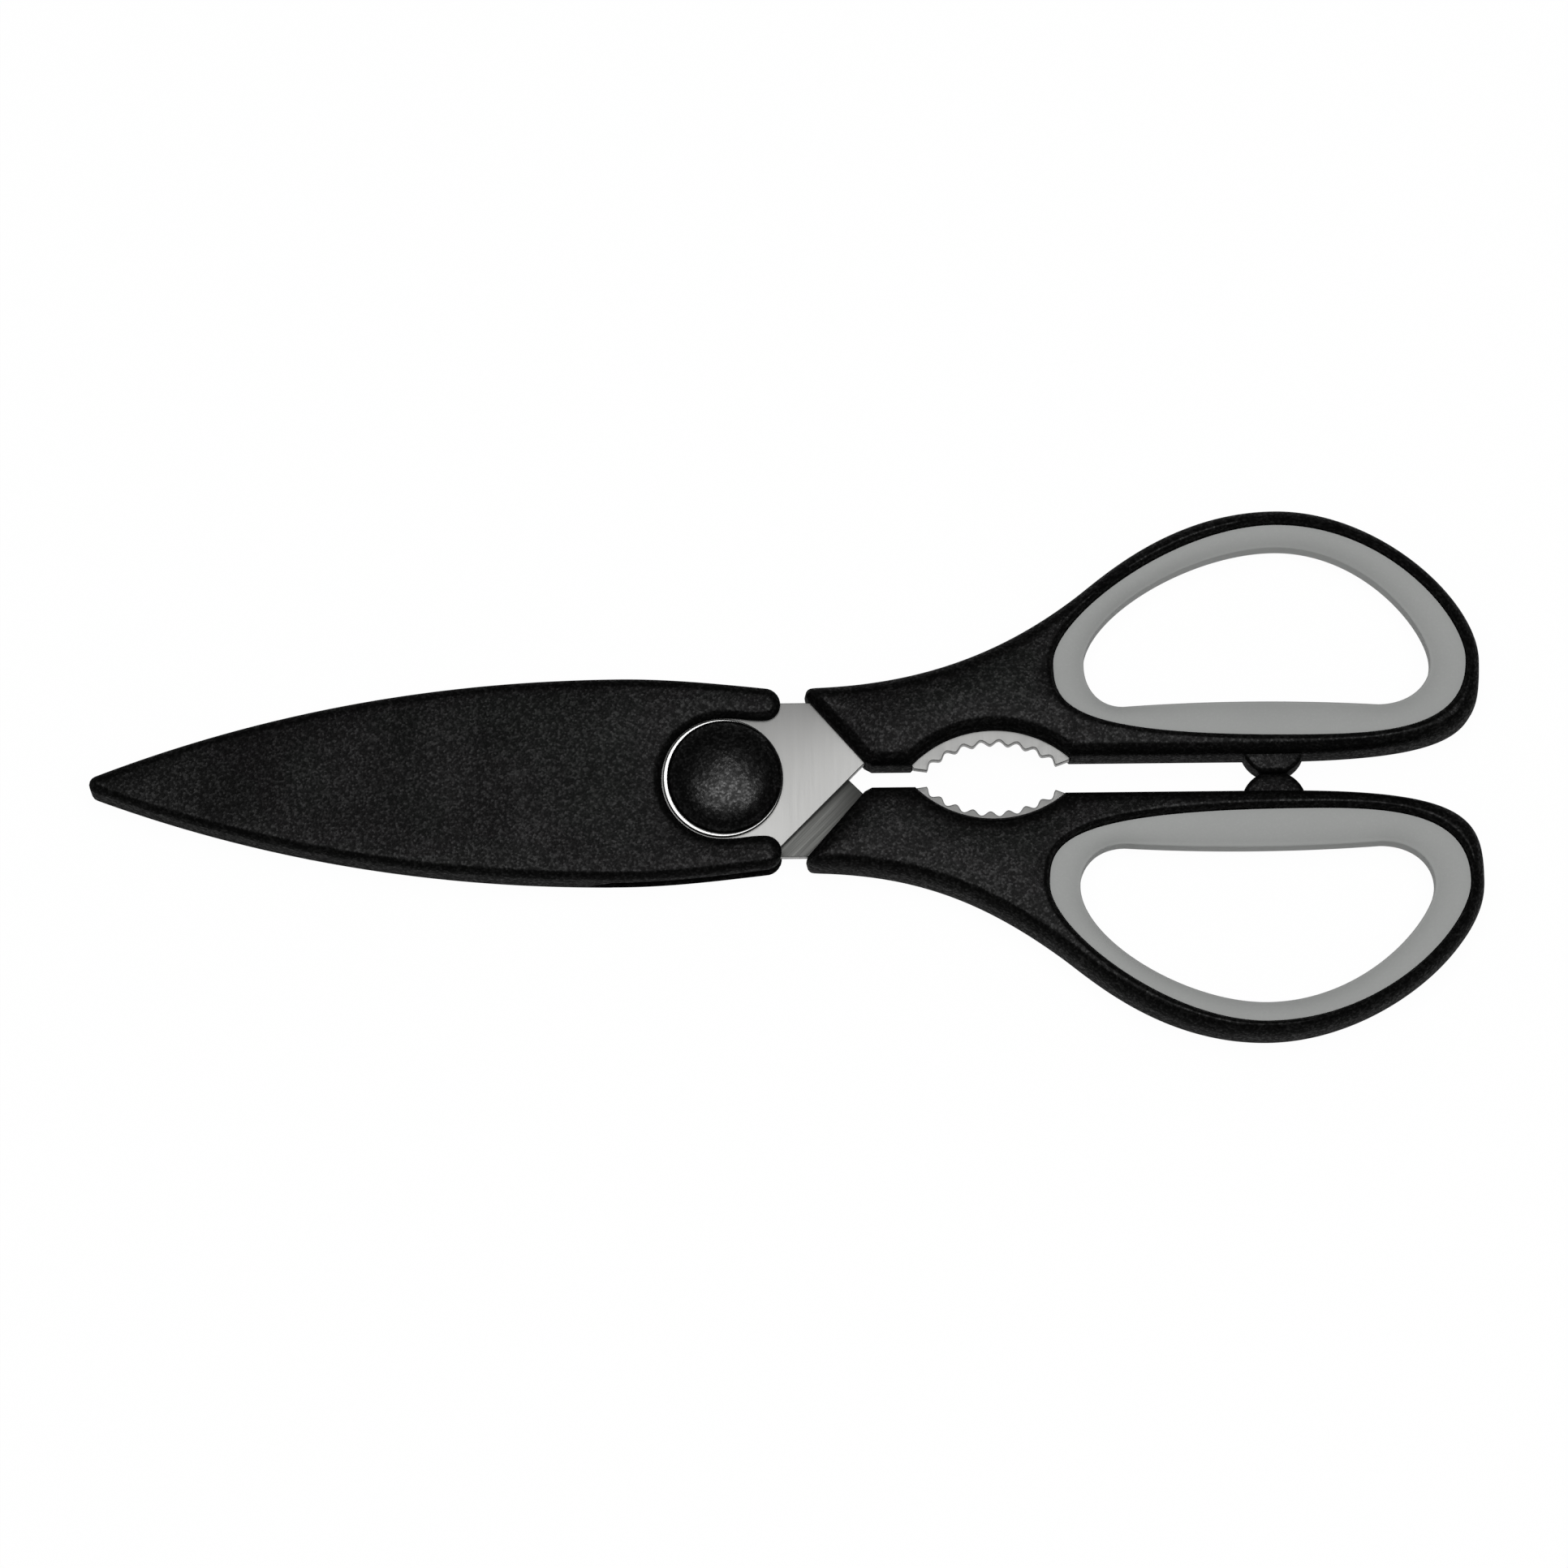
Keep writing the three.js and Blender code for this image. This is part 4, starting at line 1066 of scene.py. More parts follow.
@dataclass
class Blade:
    """One steel stamping: blade, round boss, tang and toothed jaw."""

    layout: Layout
    finishes: Finishes
    reach: float = 100.5
    tip_width: float = 1.6
    heel_angle: float = 157.0
    spine_start: float = 10.0
    spine_leave: float = 28.0
    spine_arrive: Span = (28.5, 6.2)
    grind_width: float = 8.0
    edge_land: float = 0.3
    tang_inset: float = 1.6
    tang_end: Span = (59.224, 3.1)
    tang_crest: Span = (43.924, 14.2)
    jaw_flat: float = 2.2
    jaw_flat_rise: float = 0.3
    jaw_heel: float = 0.8
    tooth_depth: float = 0.85
    tooth_count: int = 8
    tooth_pitch: float = 10.0
    tooth_middle: float = 92.0
    tooth_steps: int = 14
    deburr: float = 0.14
    bore: float = 3.2
    face_tilt: float = 0.75
    anchors: tuple[tuple[float, float, float], ...] = ((27.924, 8.0, 2.4), (37.424, 10.3, 1.8))

    def jaw_edge(self) -> list[Span]:
        """Returns the toothed edge of the jaw, from its flat first tooth to the last tip."""
        x, y = self.layout.jaw_centre
        first = self.tooth_middle + self.tooth_count * self.tooth_pitch / 2
        points = []
        for i in range(self.tooth_count * self.tooth_steps + 1):
            angle = math.radians(first - i * self.tooth_pitch / self.tooth_steps)
            wave = (1 - math.cos(2 * math.pi * i / self.tooth_steps)) / 2
            radius = self.layout.jaw_radius + self.tooth_depth * wave
            points.append((x + radius * math.cos(angle), y + radius * math.sin(angle)))
        return [(points[0][0] - self.jaw_flat, points[0][1] + self.jaw_flat_rise), *points]

    def outline(self) -> Ring:
        """Returns the outline of the whole stamping."""
        place = self.layout
        under = place.nose_gap + self.tang_inset
        behind = place.centre_gap + self.tang_inset
        boss = place.boss_radius
        slope_run = place.nose[1] + boss
        jaw = self.jaw_edge()
        pen = Outline(-self.reach, -self.tip_width / 2)
        pen.curve(
            (self.spine_arrive[0] - self.reach, -self.tip_width / 2 - self.spine_arrive[1]),
            (-self.spine_start - self.spine_leave, -boss),
            (-self.spine_start, -boss),
        )
        pen.line(place.nose[0] - slope_run, -boss)
        pen.line(*place.nose)
        pen.line(place.nose[0] + place.nose_cut, under)
        pen.line(jaw[0][0] - self.jaw_flat / 2, under)
        for point in jaw:
            pen.line(*point)
        pen.line(jaw[-1][0] + place.jaw_show, jaw[-1][1] + self.jaw_heel)
        pen.line(jaw[-1][0] + place.jaw_show + self.jaw_heel, behind)
        pen.line(self.tang_end[0], behind)
        pen.line(self.tang_end[0], behind + self.tang_end[1])
        pen.line(*self.tang_crest)
        pen.line(place.nose[0], boss)
        pen.line(0.0, boss)
        pen.arc((0.0, 0.0), boss, 90.0, self.heel_angle)
        pen.line(-self.reach, self.tip_width / 2)
        return pen.ring()

    def grind(self) -> Shape:
        """Returns the wedge that grinding takes off the outer face along the cutting edge."""
        angle = math.radians(self.heel_angle)
        heel = Vector((math.cos(angle), math.sin(angle), 0.0)) * self.layout.boss_radius
        along = Vector((-self.reach, self.tip_width / 2, 0.0)) - heel
        depth = self.layout.blade_thickness - self.edge_land
        width = self.grind_width
        section = [(width, 0), (-width, -2 * depth), (-width, depth), (width, depth)]
        up = Vector((0.0, 0.0, 1.0))
        bm = bar(raised(section), up * (along.length + width))
        forward = along.normalized()
        axes = Matrix((up.cross(forward), up, forward)).transposed().to_4x4()
        shift = Matrix.Translation((heel.x, heel.y, self.layout.blade_top))
        bmesh.ops.transform(bm, matrix=shift @ axes, verts=bm.verts)
        bmesh.ops.recalc_face_normals(bm, faces=bm.faces)
        return bm

    def build(self, side: Side) -> Piece:
        """Makes the stamping of one half.

        Args:
            side: Which half it belongs to.

        Returns:
            The finished piece.
        """
        place = self.layout
        half = place.blade_thickness / 2
        plate = Moulding(self.outline(), half, self.deburr, self.deburr, steps=3)
        piece = rough_object(f"{side.blade}_steel", plate.build(place.blade_bottom + half))
        low, high = place.blade_bottom - SPARE, place.blade_top + SPARE
        for x, y, radius in (*self.anchors, (0.0, 0.0, self.bore)):
            carve(piece, rod(x, y, radius, low, high), Cut.TAKE_AWAY)
        carve(piece, self.grind(), Cut.TAKE_AWAY)
        self.number_faces(piece)
        side.place_piece(piece, place.middle)
        # The inner face's finish carries painted shade where the rear blade lies under the front
        # one.
        materials = [self.finishes.satin, self.finishes.inner_shade, self.finishes.edge]
        return finish_piece(piece, side.body, side.blade, materials)

    def number_faces(self, piece: Piece) -> None:
        """Gives the outer face, the inner face and the stamped edges their own finishes, the inner
        face's a far darker one as painted shade.

        Args:
            piece: The stamping, still as modelled for the upper half.
        """
        for polygon in piece.data.polygons:
            if polygon.normal.z > self.face_tilt:
                polygon.material_index = 0
            elif polygon.normal.z < -self.face_tilt:
                polygon.material_index = 1
            else:
                polygon.material_index = 2


@dataclass
class FingerLoop:
    """Outlines of a finger loop, from the opening out, with its far side moved along by a lean."""

    layout: Layout
    lean: float
    lean_front: float = 0.4
    opening_length: float = 59.0
    opening_low: float = 11.8
    opening_crown: float = 0.7
    opening_front_corner: float = 7.1
    opening_end_corner: float = 8.9
    opening_far: float = 39.0
    lining_front: float = 5.2
    lining_end: float = 5.9
    lining_near: float = 6.3
    lining_far: float = 42.55
    waist: float = 19.0
    crest_behind: float = 31.8
    low_behind: float = 37.8
    opening_turns: tuple[Span, ...] = ((0.6, 0.55), (0.3, 0.59), (0.44, 0.45), (0.53, 0.65))
    border_turns: tuple[Span, ...] = ((0.5, 0.95), (0.32, 0.59), (0.46, 0.33), (0.54, 0.97))

    @property
    def crest(self) -> float:
        """Place of the widest part along the shears."""
        return self.layout.opening_front + self.crest_behind + self.lean

    @property
    def end(self) -> float:
        """Place of the opening's rear end."""
        return self.layout.opening_front + self.opening_length

    def round_back(self, pen: Outline, stops: list[Span], turns: tuple[Span, ...]) -> Ring:
        """Closes an outline with four quarter turns.

        Args:
            pen: The outline so far, which ends along the shears.
            stops: Where the turns end.
            turns: How full each one is.

        Returns:
            The closed outline.
        """
        for index, (stop, full) in enumerate(zip(stops, turns)):
            pen.turn(*stop, full, index % 2 == 1)
        return pen.ring()

    def opening(self) -> Ring:
        """Returns the outline of the finger hole."""
        front = self.layout.opening_front
        start = front + self.opening_front_corner
        stop = self.end - self.opening_end_corner
        lift = self.opening_low + self.opening_crown * 4 / 3
        third = (stop - start) / 3
        pen = Outline(start, self.opening_low)
        pen.curve((start + third, lift), (stop - third, lift), (stop, self.opening_low))
        stops = [
            (self.end, self.waist),
            (self.crest, self.opening_far),
            (front + self.lean_front * self.lean, self.waist),
            (start, self.opening_low),
        ]
        return self.round_back(pen, stops, self.opening_turns)

    def border(self) -> Ring:
        """Returns the border between the soft lining and the black rim."""
        low = self.layout.opening_front + self.low_behind
        front = self.layout.opening_front - self.lining_front + self.lean_front * self.lean
        stops = [
            (self.end + self.lining_end, self.waist),
            (self.crest, self.lining_far),
            (front, self.waist),
            (low, self.lining_near),
        ]
        return self.round_back(Outline(low, self.lining_near), stops, self.border_turns)


@dataclass
class Handle:
    """Black moulded handle with its half of the closing stop."""

    layout: Layout
    loop: FingerLoop
    finishes: Finishes
    jaw_show: float
    thickness: float = 12.0
    rim_across: float = 2.0
    rim_down: float = 3.0
    crown_dip: float = 0.5
    crown_reach: float = 6.5
    draft: float = 0.14
    groove: float = 0.12
    rim_lip: Span = (1.0, 1.5)
    neck_x: float = 12.0
    neck_corner: float = 1.3
    neck_spare: float = 0.4
    end_turn: Span = (0.95, 0.68)
    far_turn: Span = (0.4, 0.52)
    nose_lean: float = 41.2
    neck_leave: float = 18.3
    neck_arrive: float = 14.2
    shoulder: Span = (57.924, 30.6)
    shoulder_slope: float = 0.76
    shoulder_leave: float = 4.6
    shoulder_arrive: float = 17.6
    outer_side: float = 45.25
    end: float = 127.474
    stop_x: float = 92.324
    stop_radius: float = 5.5
    stop_land: float = 4.4
    stop_thickness: float = 6.8
    stop_gap: float = 0.3
    stop_edge: float = 0.8

    def outline(self) -> Ring:
        """Returns the outline, from the inner front corner round the loop to the neck."""
        place = self.layout
        jaw_y = place.jaw_centre[1]
        radius = place.jaw_radius + self.jaw_show
        start = 180 - math.degrees(math.asin((place.nose_gap - jaw_y) / radius))
        end = math.degrees(math.asin((place.centre_gap - jaw_y) / radius))
        x, y = self.shoulder[0] + self.loop.lean, self.shoulder[1]
        slope = self.shoulder_slope
        side = place.mouth_half_width
        corner = 90 + self.nose_lean
        run = self.neck_corner * math.tan(math.radians(corner / 2))
        pen = Outline(*place.nose)
        pen.line(place.nose[0] + place.nose_cut, place.nose_gap)
        pen.arc(place.jaw_centre, radius, start, end)
        pen.line(self.loop.crest - self.loop.lean, place.centre_gap)
        pen.turn(self.end, self.loop.waist, self.end_turn, False)
        pen.turn(self.loop.crest, self.outer_side, self.far_turn, True)
        pen.curve(
            (self.loop.crest - self.shoulder_arrive, self.outer_side),
            (x + self.shoulder_leave, y + self.shoulder_leave * slope),
            (x, y),
        )
        pen.curve(
            (x - self.neck_arrive, y - self.neck_arrive * slope),
            (self.neck_x + self.neck_leave, side),
            (self.neck_x, side),
        )
        kept = self.neck_x + run + self.neck_spare
        while pen.points[-1].x < kept:
            pen.points.pop()
        centre = (self.neck_x + run, side - self.neck_corner)
        pen.arc(centre, self.neck_corner, 90.0, 90.0 + corner)
        pen.line(*place.nose)
        return pen.ring()

    def closing_stop(self) -> Shape:
        """Returns the round stop, flat where it meets the one on the other handle."""
        flat_angle = math.degrees(math.asin(self.stop_land / 2 / self.stop_radius))
        centre = self.stop_gap / 2 + self.stop_radius * math.cos(math.radians(flat_angle))
        first = math.radians(flat_angle - 90)
        pen = Outline(
            self.stop_x + self.stop_radius * math.cos(first),
            centre + self.stop_radius * math.sin(first),
        )
        pen.arc((self.stop_x, centre), self.stop_radius, flat_angle - 90, 270 - flat_angle)
        pen.line(self.stop_x + self.stop_land / 2, self.stop_gap / 2)
        half = self.stop_thickness / 2
        stop = Moulding(pen.ring(), half, self.stop_edge, self.stop_edge, steps=4)
        return stop.build(self.layout.middle)

    def build(self, side: Side, blade: Blade) -> Piece:
        """Makes the handle of one half.

        Args:
            side: Which half it belongs to.
            blade: The stamping whose tang it holds.

        Returns:
            The finished piece.
        """
        place = self.layout
        recess = grown(self.loop.border(), self.groove)
        plate = Moulding(
            self.outline(),
            self.thickness / 2,
            self.rim_across,
            self.rim_down,
            self.crown_dip,
            self.crown_reach,
            self.draft,
            recess,
            self.rim_lip,
        )
        piece = rough_object(f"{side.value}_handle_moulding", plate.build(place.middle))
        stop = rough_object("stop", self.closing_stop())
        carve(stop, prism(recess, -SPARE, self.thickness + SPARE), Cut.TAKE_AWAY)
        carve(piece, take_shape(stop), Cut.JOIN)
        gap = place.fit_gap
        room = prism(grown(blade.outline(), gap), place.blade_bottom - gap, place.blade_top + gap)
        carve(piece, room, Cut.TAKE_AWAY)
        side.place_piece(piece, place.middle)
        node = f"{side.value}_handle"
        return finish_piece(piece, side.body, node, [self.finishes.handle])


@dataclass
class Grip:
    """Soft grey lining of a finger loop, with crowned faces that come down towards the hole."""

    layout: Layout
    loop: FingerLoop
    finishes: Finishes
    sink: float = 2.0
    slope: float = 38.0
    drop: float = 1.7
    corner: float = 0.4
    corner_share: float = 0.07
    gap: float = 0.04
    bond: float = 0.2
    rows: int = 12

    def section(self) -> list[Span]:
        """Returns the upper half of the section: shares of the width, and heights."""
        slope, half = math.radians(self.slope), self.layout.middle - self.sink
        keep = 1 - self.corner_share
        points = []
        for row in range(self.rows + 1):
            angle = slope * row / self.rows
            share = keep * math.sin(angle) / math.sin(slope)
            points.append((share, half - self.drop * (1 - math.cos(angle)) / (1 - math.cos(slope))))
        for row in range(1, self.rows + 1):
            angle = slope + (math.pi / 2 - slope) * row / self.rows
            rise = (math.sin(angle) - math.sin(slope)) / (1 - math.sin(slope))
            share = keep + self.corner_share * rise
            fall = self.corner * (math.cos(slope) - math.cos(angle)) / math.cos(slope)
            points.append((share, half - self.drop - fall))
        return [*points, (1.0, 0.0)]

    def build(self, side: Side) -> Piece:
        """Makes the lining of one half.

        Args:
            side: Which half it belongs to.

        Returns:
            The finished piece.
        """
        inner = self.loop.opening()
        outwards = unit(-inward(inner))
        spots = flat(inner)
        away = reach_to(grown(self.loop.border(), -self.gap), spots, outwards)
        bm = bmesh.new()
        outer = spots + outwards * away[:, None]
        ring = lay_ring(bm, raised(outer + outwards * self.bond))
        for share, height in self.section():
            ring = raise_ring(bm, ring, raised(outer + (spots - outer) * share, height))
        close_halves(bm)
        bmesh.ops.translate(bm, vec=(0, 0, self.layout.middle), verts=bm.verts)
        side.place(bm, self.layout.middle)
        piece = rough_object(f"{side.value}_grip_lining", bm)
        node = f"{side.value}_grip"
        return finish_piece(piece, side.body, node, [self.finishes.grip])


@dataclass
class Pivot:
    """Caps, washers, bolt and nut on the pivot axis."""

    layout: Layout
    finishes: Finishes
    cap_radius: float = 9.7
    cap_seat: float = 9.5
    skirt: float = 0.25
    dome: float = 3.5
    head_radius: float = 6.0
    head_height: float = 1.6
    nut_seat: float = 3.0
    nut_height: float = 1.7
    nut_corner: float = 5.7735
    cap_floor: float = 1.1
    cap_edge: float = 0.8
    washer_bottom: float = 8.3
    washer_thickness: float = 1.0
    rear_washer_thickness: float = 0.5
    washer_bore: float = 3.48
    washer_shift: float = 0.28
    washer_edge: float = 0.25
    burr: float = 0.08
    face_tilt: float = 0.9
    steps: int = 28

    def crown(self, radius: float, base: float, height: float, run: float) -> list[Span]:
        """Returns a quarter ellipse from a rim towards the axis, as radii and heights."""
        angles = quarter(self.steps)
        return [(radius - run + run * math.cos(a), base + height * math.sin(a)) for a in angles]

    def front_cap(self) -> Piece:
        """Makes the domed cap over the bolt's head."""
        gap = self.layout.fit_gap
        roof = self.cap_seat + self.head_height + gap
        pocket = self.head_radius + gap
        profile = [
            (0.0, roof),
            (pocket, roof),
            (pocket, self.cap_seat),
            (self.cap_radius - self.burr, self.cap_seat),
            (self.cap_radius, self.cap_seat + self.burr),
            *self.crown(self.cap_radius, self.cap_seat + self.skirt, self.dome, self.cap_radius),
        ]
        piece = rough_object("front_cap_dome", turned(profile))
        return finish_piece(piece, "pivot", "front_cap", [self.finishes.cap])

    def rear_cap(self) -> Piece:
        """Makes the flat cap over the nut."""
        gap = self.layout.fit_gap
        floor = self.nut_seat - self.nut_height - gap
        bottom = floor - self.cap_floor
        pocket = self.nut_corner + gap
        edge = self.crown(self.cap_radius, bottom + self.cap_edge, -self.cap_edge, self.cap_edge)
        profile = [
            (0.0, bottom),
            *reversed(edge),
            (self.cap_radius, self.nut_seat),
            (pocket, self.nut_seat),
            (pocket, floor),
            (0.0, floor),
        ]
        piece = rough_object("rear_cap_plug", turned(profile))
        return finish_piece(piece, "pivot", "rear_cap", [self.finishes.cap])

    def washer(self, node: str, bottom: float, top: float) -> Piece:
        """Makes one of the bright rings, which sit a little off the axis, with a near-black rim as
        painted shade.

        Args:
            node: Solid that it stands for.
            bottom: Height of its lower face.
            top: Height of its upper face.

        Returns:
            The finished piece.
        """
        radius, edge = self.layout.washer_radius, self.washer_edge
        profile = [
            (self.washer_bore, bottom),
            *reversed(self.crown(radius, bottom + edge, -edge, edge)),
            *self.crown(radius, top - edge, edge, edge),
            (self.washer_bore, top),
            (self.washer_bore, bottom),
        ]
        bm = turned(profile)
        bmesh.ops.translate(bm, vec=(-self.washer_shift, 0, 0), verts=bm.verts)
        for face in bm.faces:
            # Flat faces take the bright steel; the rounded rims and the bore take the near-black
            # painted shade.
            face.material_index = 0 if abs(face.normal.z) > self.face_tilt else 1
        piece = rough_object(f"{node}_ring", bm)
        materials = [self.finishes.bright, self.finishes.rim]
        return finish_piece(piece, "pivot", node, materials)

    def build(self) -> None:
        """Makes the caps and washers, and dresses the hidden bolt and nut."""
        self.front_cap()
        self.rear_cap()
        self.washer("front_washer", self.washer_bottom, self.washer_bottom + self.washer_thickness)
        below = 2 * self.layout.middle - self.washer_bottom
        self.washer("rear_washer", below - self.rear_washer_thickness, below)
        for node in ("pivot_bolt", "pivot_nut"):
            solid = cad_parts[node]
            solid.data.materials.clear()
            solid.data.materials.append(self.finishes.dull)
            log.info("%s keeps its solid", node)


@dataclass
class Sheath:
    """Blade cover: a hollow front shell and a flat back wall that meet at a seam."""

    layout: Layout
    finishes: Finishes
    reach: float = 106.9
    tip_radius: float = 1.5
    tip_slope: float = 20.8
    tip_leave: float = 30.4
    widest: float = 17.5
    widest_arrive: float = 30.9
    half_width: float = 17.25
    side_wall: float = 1.6
    top: float = 10.3
    inner: float = 8.7
    seam: float = 3.3
    edge: float = 1.55
    back_edge: float = 0.35
    crown_dip: float = 0.22
    crown_reach: float = 6.0
    prong_reach: float = 9.5
    prong_neck: float = 9.85
    notch_room: float = 0.18
    notch_back: float = 0.3
    cavity_tip: float = 0.1
    slot_start: float = 23.0
    slot_point: float = 4.0
    slot_point_height: float = 3.2
    slot_mouth_height: float = 4.0
    slot_lip: float = 0.4

    @property
    def prong(self) -> tuple[float, float, float]:
        """Middle of a prong's round end, along and across, and its radius."""
        radius = (self.layout.mouth_half_width - self.prong_neck) / 2
        return self.prong_reach - radius, self.prong_neck + radius, radius

    def side(self) -> Outline:
        """Returns the long side from the tip to the straight part of the prong."""
        slope = math.radians(self.tip_slope)
        x = self.tip_radius * (1 - math.sin(slope)) - self.reach
        y = self.tip_radius * math.cos(slope)
        end = self.prong[0]
        mouth = self.layout.mouth_half_width
        run = (end + self.widest) / 3
        pen = Outline(x, y)
        pen.curve(
            (x + self.tip_leave * math.cos(slope), y + self.tip_leave * math.sin(slope)),
            (-self.widest - self.widest_arrive, self.half_width),
            (-self.widest, self.half_width),
        )
        swell = (self.half_width - mouth) / 2
        pen.curve((run - self.widest, self.half_width), (end - run, mouth + swell), (end, mouth))
        return pen

    def outline(self) -> Ring:
        """Returns the outline with the notch that takes the pivot."""
        x, y, radius = self.prong
        neck = y - radius
        notch = self.layout.washer_radius + self.notch_room
        pen = self.side()
        pen.arc((x, y), radius, 90.0, -90.0)
        pen.curve((x / 2, neck), (x / 2, notch), (-self.notch_back, notch))
        pen.arc((-self.notch_back, 0.0), notch, 90.0, 180.0)
        pen.points += other_half(pen.points[:-1])
        slope = 90.0 + self.tip_slope
        pen.arc((self.tip_radius - self.reach, 0.0), self.tip_radius, 360.0 - slope, slope)
        return pen.ring()

    def cavity(self, bottom: float, top: float) -> Shape:
        """Room for the blades, open at the mouth.

        Args:
            bottom: Height of its lower face.
            top: Height of its upper face.

        Returns:
            The closed shape.
        """
        points = flat(self.side().points)
        ahead = unit(np.gradient(points, axis=0))
        inset = points + np.stack([ahead[:, 1], -ahead[:, 0]], axis=1) * self.side_wall
        inset[:, 1] = np.maximum(inset[:, 1], self.cavity_tip)
        half = raised(inset)
        half.append(Vector((self.layout.far, half[-1].y, 0.0)))
        pen = Outline(half[0].x, half[0].y)
        pen.points = half + other_half(half)
        return prism(pen.ring(), bottom, top)

    def crossbar(self, section: list[Span]) -> Shape:
        """Returns a bar right across the sheath, with corners along it and in height."""
        far = self.layout.far
        return bar([Vector((x, -far, z)) for x, z in section], Vector((0.0, 2 * far, 0.0)))

    def block(self, edge: float, keep_above: bool) -> Shape:
        """Whole outside of the sheath, cut off at the seam.

        Args:
            edge: Radius of its rounded rims.
            keep_above: Whether the front part stays, or else the back part.

        Returns:
            The closed part.
        """
        half = self.top - self.layout.middle
        plate = Moulding(self.outline(), half, edge, edge, self.crown_dip, self.crown_reach)
        bm = plate.build(self.layout.middle)
        cut = bmesh.ops.bisect_plane(
            bm,
            geom=[*bm.verts, *bm.edges, *bm.faces],
            dist=MERGE,
            plane_co=(0, 0, self.seam),
            plane_no=(0, 0, 1),
            clear_inner=keep_above,
            clear_outer=not keep_above,
        )["geom_cut"]
        edges = [e for e in cut if isinstance(e, Edge)]
        bmesh.ops.triangle_fill(bm, use_beauty=True, edges=edges)
        bmesh.ops.recalc_face_normals(bm, faces=bm.faces)
        return bm

    def shell(self) -> Piece:
        """Makes the front wall with the side walls."""
        piece = rough_object("sheath_shell_moulding", self.block(self.edge, True))
        carve(piece, self.cavity(self.seam - SPARE, self.inner), Cut.TAKE_AWAY)
        mouth = self.prong_reach + SPARE
        start, seam = -self.slot_start, self.seam
        section = [
            (start, seam),
            (start, seam - SPARE),
            (mouth, seam - SPARE),
            (mouth, seam + self.slot_mouth_height),
            (start + self.slot_point, seam + self.slot_point_height),
        ]
        carve(piece, self.crossbar(section), Cut.TAKE_AWAY)
        materials = [self.finishes.sheath]
        return finish_piece(piece, "sheath", "sheath_shell", materials)

    def back(self) -> Piece:
        """Makes the flat back wall, thinned to a lip under the side slots."""
        piece = rough_object("sheath_back_wall", self.block(self.back_edge, False))
        bottom = 2 * self.layout.middle - self.top
        mouth = self.prong_reach + SPARE
        start = -self.slot_start
        section = [
            (start, self.seam),
            (start + self.slot_point, bottom + self.slot_lip),
            (mouth, bottom + self.slot_lip),
            (mouth, self.seam + SPARE),
            (start, self.seam + SPARE),
        ]
        step = rough_object("step", self.crossbar(section))
        carve(step, self.cavity(bottom - SPARE, self.seam + 2 * SPARE), Cut.TAKE_AWAY)
        carve(piece, take_shape(step), Cut.TAKE_AWAY)
        materials = [self.finishes.sheath]
        return finish_piece(piece, "sheath", "sheath_back", materials)

    def build(self) -> None:
        """Makes both parts of the sheath."""
        self.shell()
        self.back()


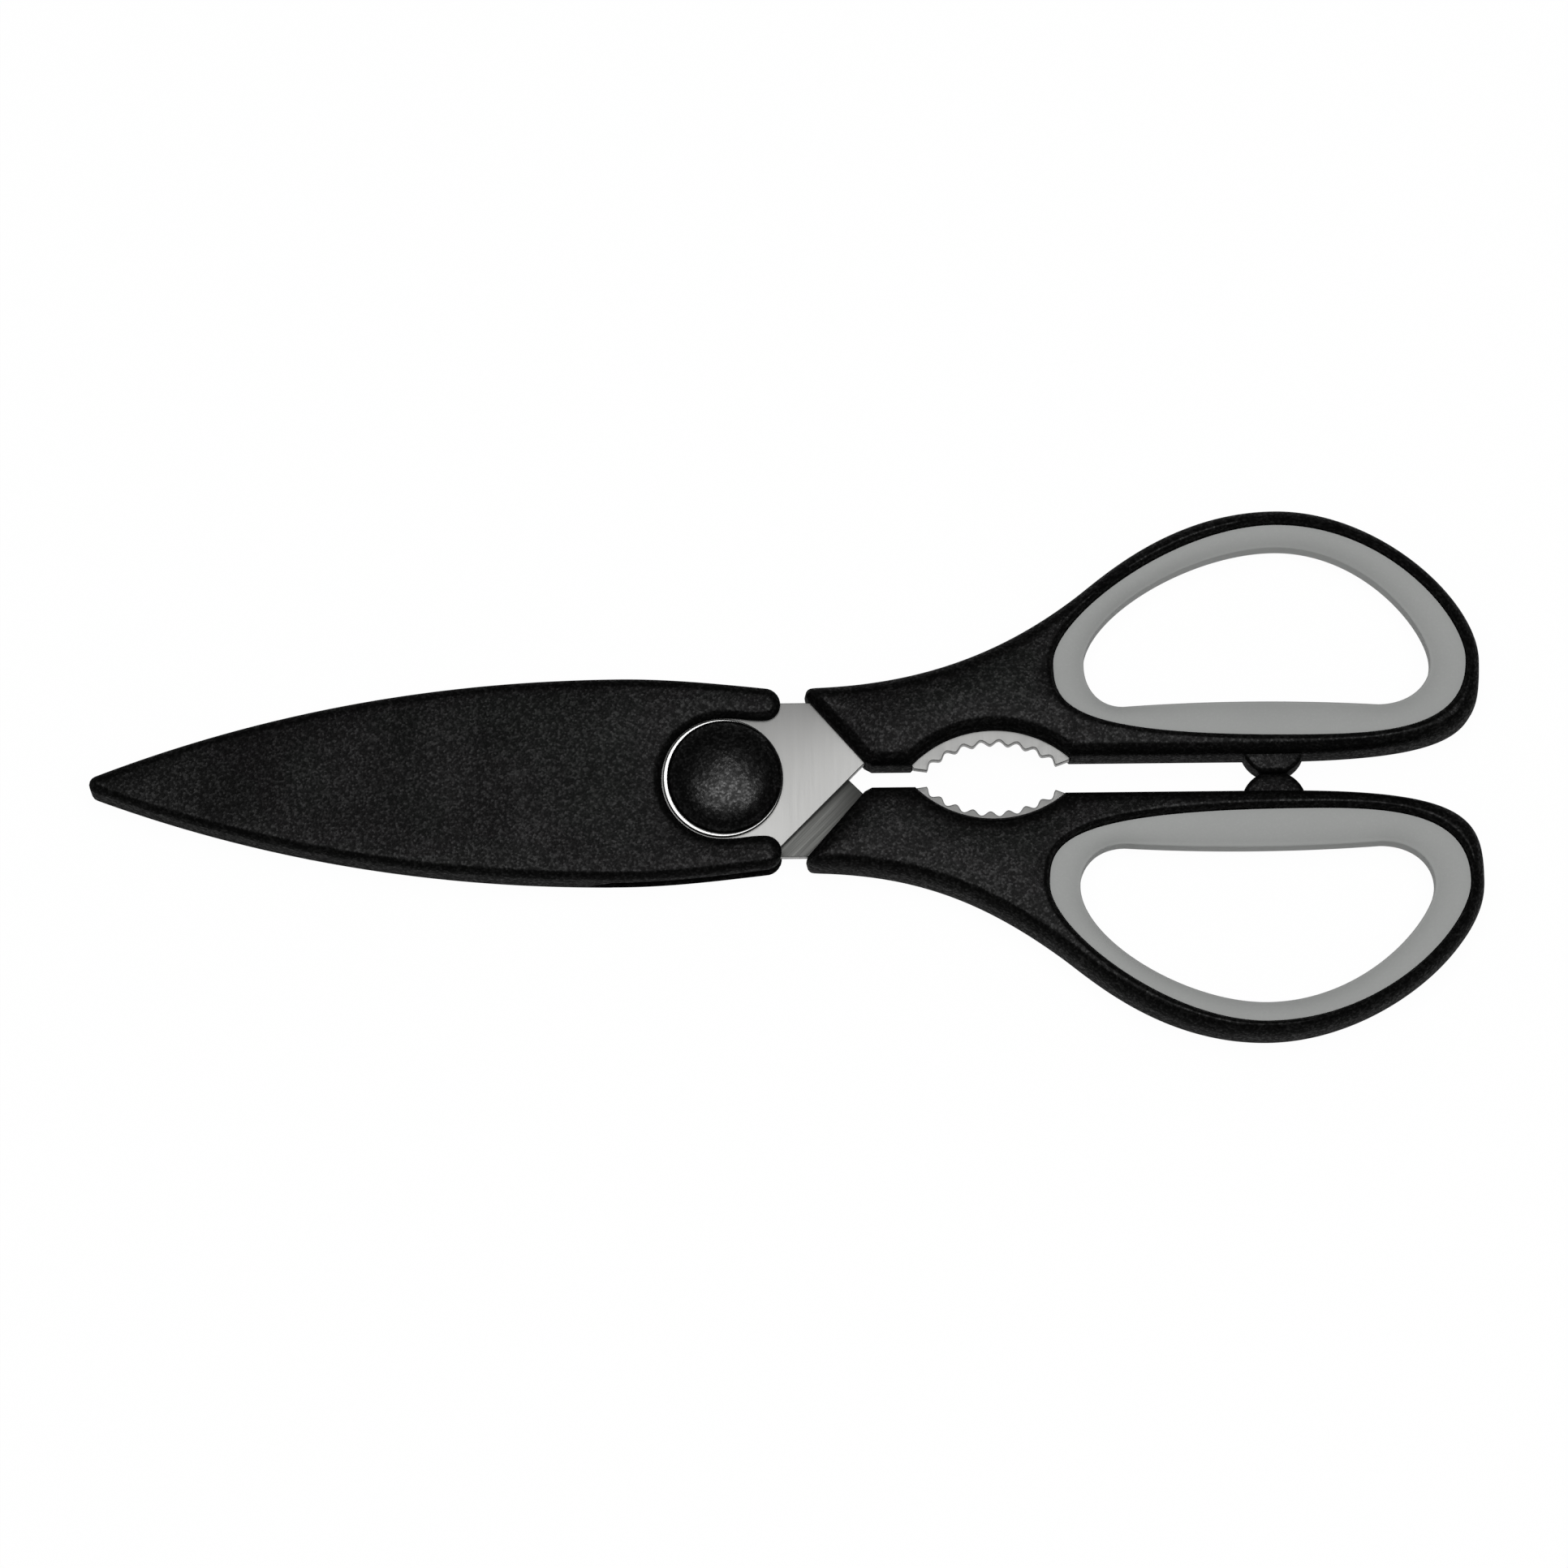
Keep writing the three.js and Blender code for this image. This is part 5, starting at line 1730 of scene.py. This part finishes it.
@dataclass
class Studio:
    """Pale floor, soft overhead light and the camera, in metres."""

    floor_size: float = 8.0
    floor_height: float = -0.0002
    floor_tone: float = 0.9
    floor_glow: float = 0.97
    lamps: tuple[tuple[float, ...], ...] = (
        (0.08, -0.12, 1.05, 0.85, 0.4, 6.4),
        (0.04, 0.21, 1.08, 0.2, 0.26, 1.6),
    )
    glossy_share: float = 0.4
    sky_steps: tuple[Span, ...] = (
        (0.0, 0.42),
        (0.3, 0.34),
        (0.58, 0.16),
        (0.8, 0.2),
        (0.88, 0.5),
        (0.94, 0.9),
        (1.0, 1.1),
    )
    sensor: float = 36.0
    clip: Span = (0.05, 20.0)
    tilt: float = 11.732
    roll: float = 0.579
    distance: float = 1.6209
    frame_width: float = 0.26508
    aim: Span = (0.00997, 0.00085)

    def floor(self) -> None:
        """Lays the white floor that keeps the shears' shadow."""
        bm = bmesh.new()
        bmesh.ops.create_grid(bm, x_segments=8, y_segments=8, size=self.floor_size / 2)
        bmesh.ops.translate(bm, vec=(0, 0, self.floor_height), verts=bm.verts)
        floor = rough_object("floor", bm)
        material = bpy.data.materials.new("white floor")
        material.use_nodes = True
        tree = Tree(material.node_tree)
        material.node_tree.nodes.clear()
        white = (1.0, 1.0, 1.0, 1.0)
        path = tree.add("ShaderNodeLightPath").outputs
        mirrored = tree.math("ADD", path["Is Glossy Ray"], path["Is Transmission Ray"])
        mirrored = tree.math("MULTIPLY", tree.math("MINIMUM", mirrored, 1.0), self.glossy_share)
        seen = tree.math("MULTIPLY", path["Is Camera Ray"], self.floor_glow)
        share = tree.math("MAXIMUM", seen, mirrored)
        paint = tree.add("ShaderNodeBsdfDiffuse", {"Color": (*[self.floor_tone] * 3, 1.0)})
        glow = tree.add("ShaderNodeEmission", {"Color": white, "Strength": 1.0})
        mix = tree.add("ShaderNodeMixShader", {0: share, 1: paint.outputs[0], 2: glow.outputs[0]})
        tree.add("ShaderNodeOutputMaterial", {"Surface": mix.outputs[0]})
        floor.data.materials.append(material)

    def light(self) -> None:
        """Hangs the soft lights overhead, under a sky that is brightest straight above."""
        for x, y, z, width, depth, power in self.lamps:
            lamp = bpy.data.lights.new("softbox", "AREA")
            lamp.shape = "RECTANGLE"
            lamp.size, lamp.size_y = width, depth
            lamp.energy = power
            box = bpy.data.objects.new("softbox", lamp)
            box.location = (x, y, z)
            bpy.context.collection.objects.link(box)
        world = bpy.data.worlds.new("dim room")
        world.use_nodes = True
        bpy.context.scene.world = world
        tree = Tree(world.node_tree)
        world.node_tree.nodes.clear()
        place = tree.add("ShaderNodeTexCoord")
        split = tree.add("ShaderNodeSeparateXYZ", {0: place.outputs["Generated"]})
        ramp = tree.add("ShaderNodeValToRGB", {0: split.outputs[2]})
        stops = ramp.color_ramp.elements
        while len(stops) < len(self.sky_steps):
            stops.new(0.5)
        for stop, (position, level) in zip(stops, self.sky_steps):
            stop.position = position
            stop.color = (level, level, level, 1.0)
        sky = tree.add("ShaderNodeBackground", {"Color": ramp.outputs[0], "Strength": 1.0})
        tree.add("ShaderNodeOutputWorld", {"Surface": sky.outputs[0]})

    def camera(self) -> None:
        """Sets up the camera at the photograph's viewing angle."""
        tilt, roll = math.radians(self.tilt), math.radians(self.roll)
        back = Vector((0.0, -math.sin(tilt), math.cos(tilt)))
        up = Vector((0.0, math.cos(tilt), math.sin(tilt)))
        right = Vector((1.0, 0.0, 0.0))
        image_right = right * math.cos(roll) - up * math.sin(roll)
        image_up = right * math.sin(roll) + up * math.cos(roll)
        aim = image_right * self.aim[0] + image_up * self.aim[1]
        lens = bpy.data.cameras.new("camera")
        lens.sensor_width = self.sensor
        lens.lens = lens.sensor_width * self.distance / self.frame_width
        lens.clip_start, lens.clip_end = self.clip
        camera = bpy.data.objects.new("camera", lens)
        axes = Matrix((image_right, image_up, back)).transposed().to_4x4()
        camera.matrix_world = Matrix.Translation(aim + back * self.distance) @ axes
        bpy.context.collection.objects.link(camera)
        bpy.context.scene.camera = camera

    def build(self) -> None:
        """Makes the floor, the light and the camera."""
        self.floor()
        self.light()
        self.camera()
        bpy.context.scene.view_settings.view_transform = "Standard"


def main() -> None:
    """Builds the shears piece by piece, then the studio."""
    logging.basicConfig(level=logging.INFO, format="%(message)s")
    layout, finishes = Layout(), Finishes()
    blade = Blade(layout, finishes)
    for side in Side:
        upper = side is Side.UPPER
        loop = FingerLoop(layout, layout.loop_lean if upper else -layout.loop_lean)
        blade.build(side)
        show = layout.jaw_show if upper else layout.lower_jaw_show
        Handle(layout, loop, finishes, show).build(side, blade)
        Grip(layout, loop, finishes).build(side)
    Pivot(layout, finishes).build()
    Sheath(layout, finishes).build()
    Studio().build()


if __name__ == "__main__":
    main()
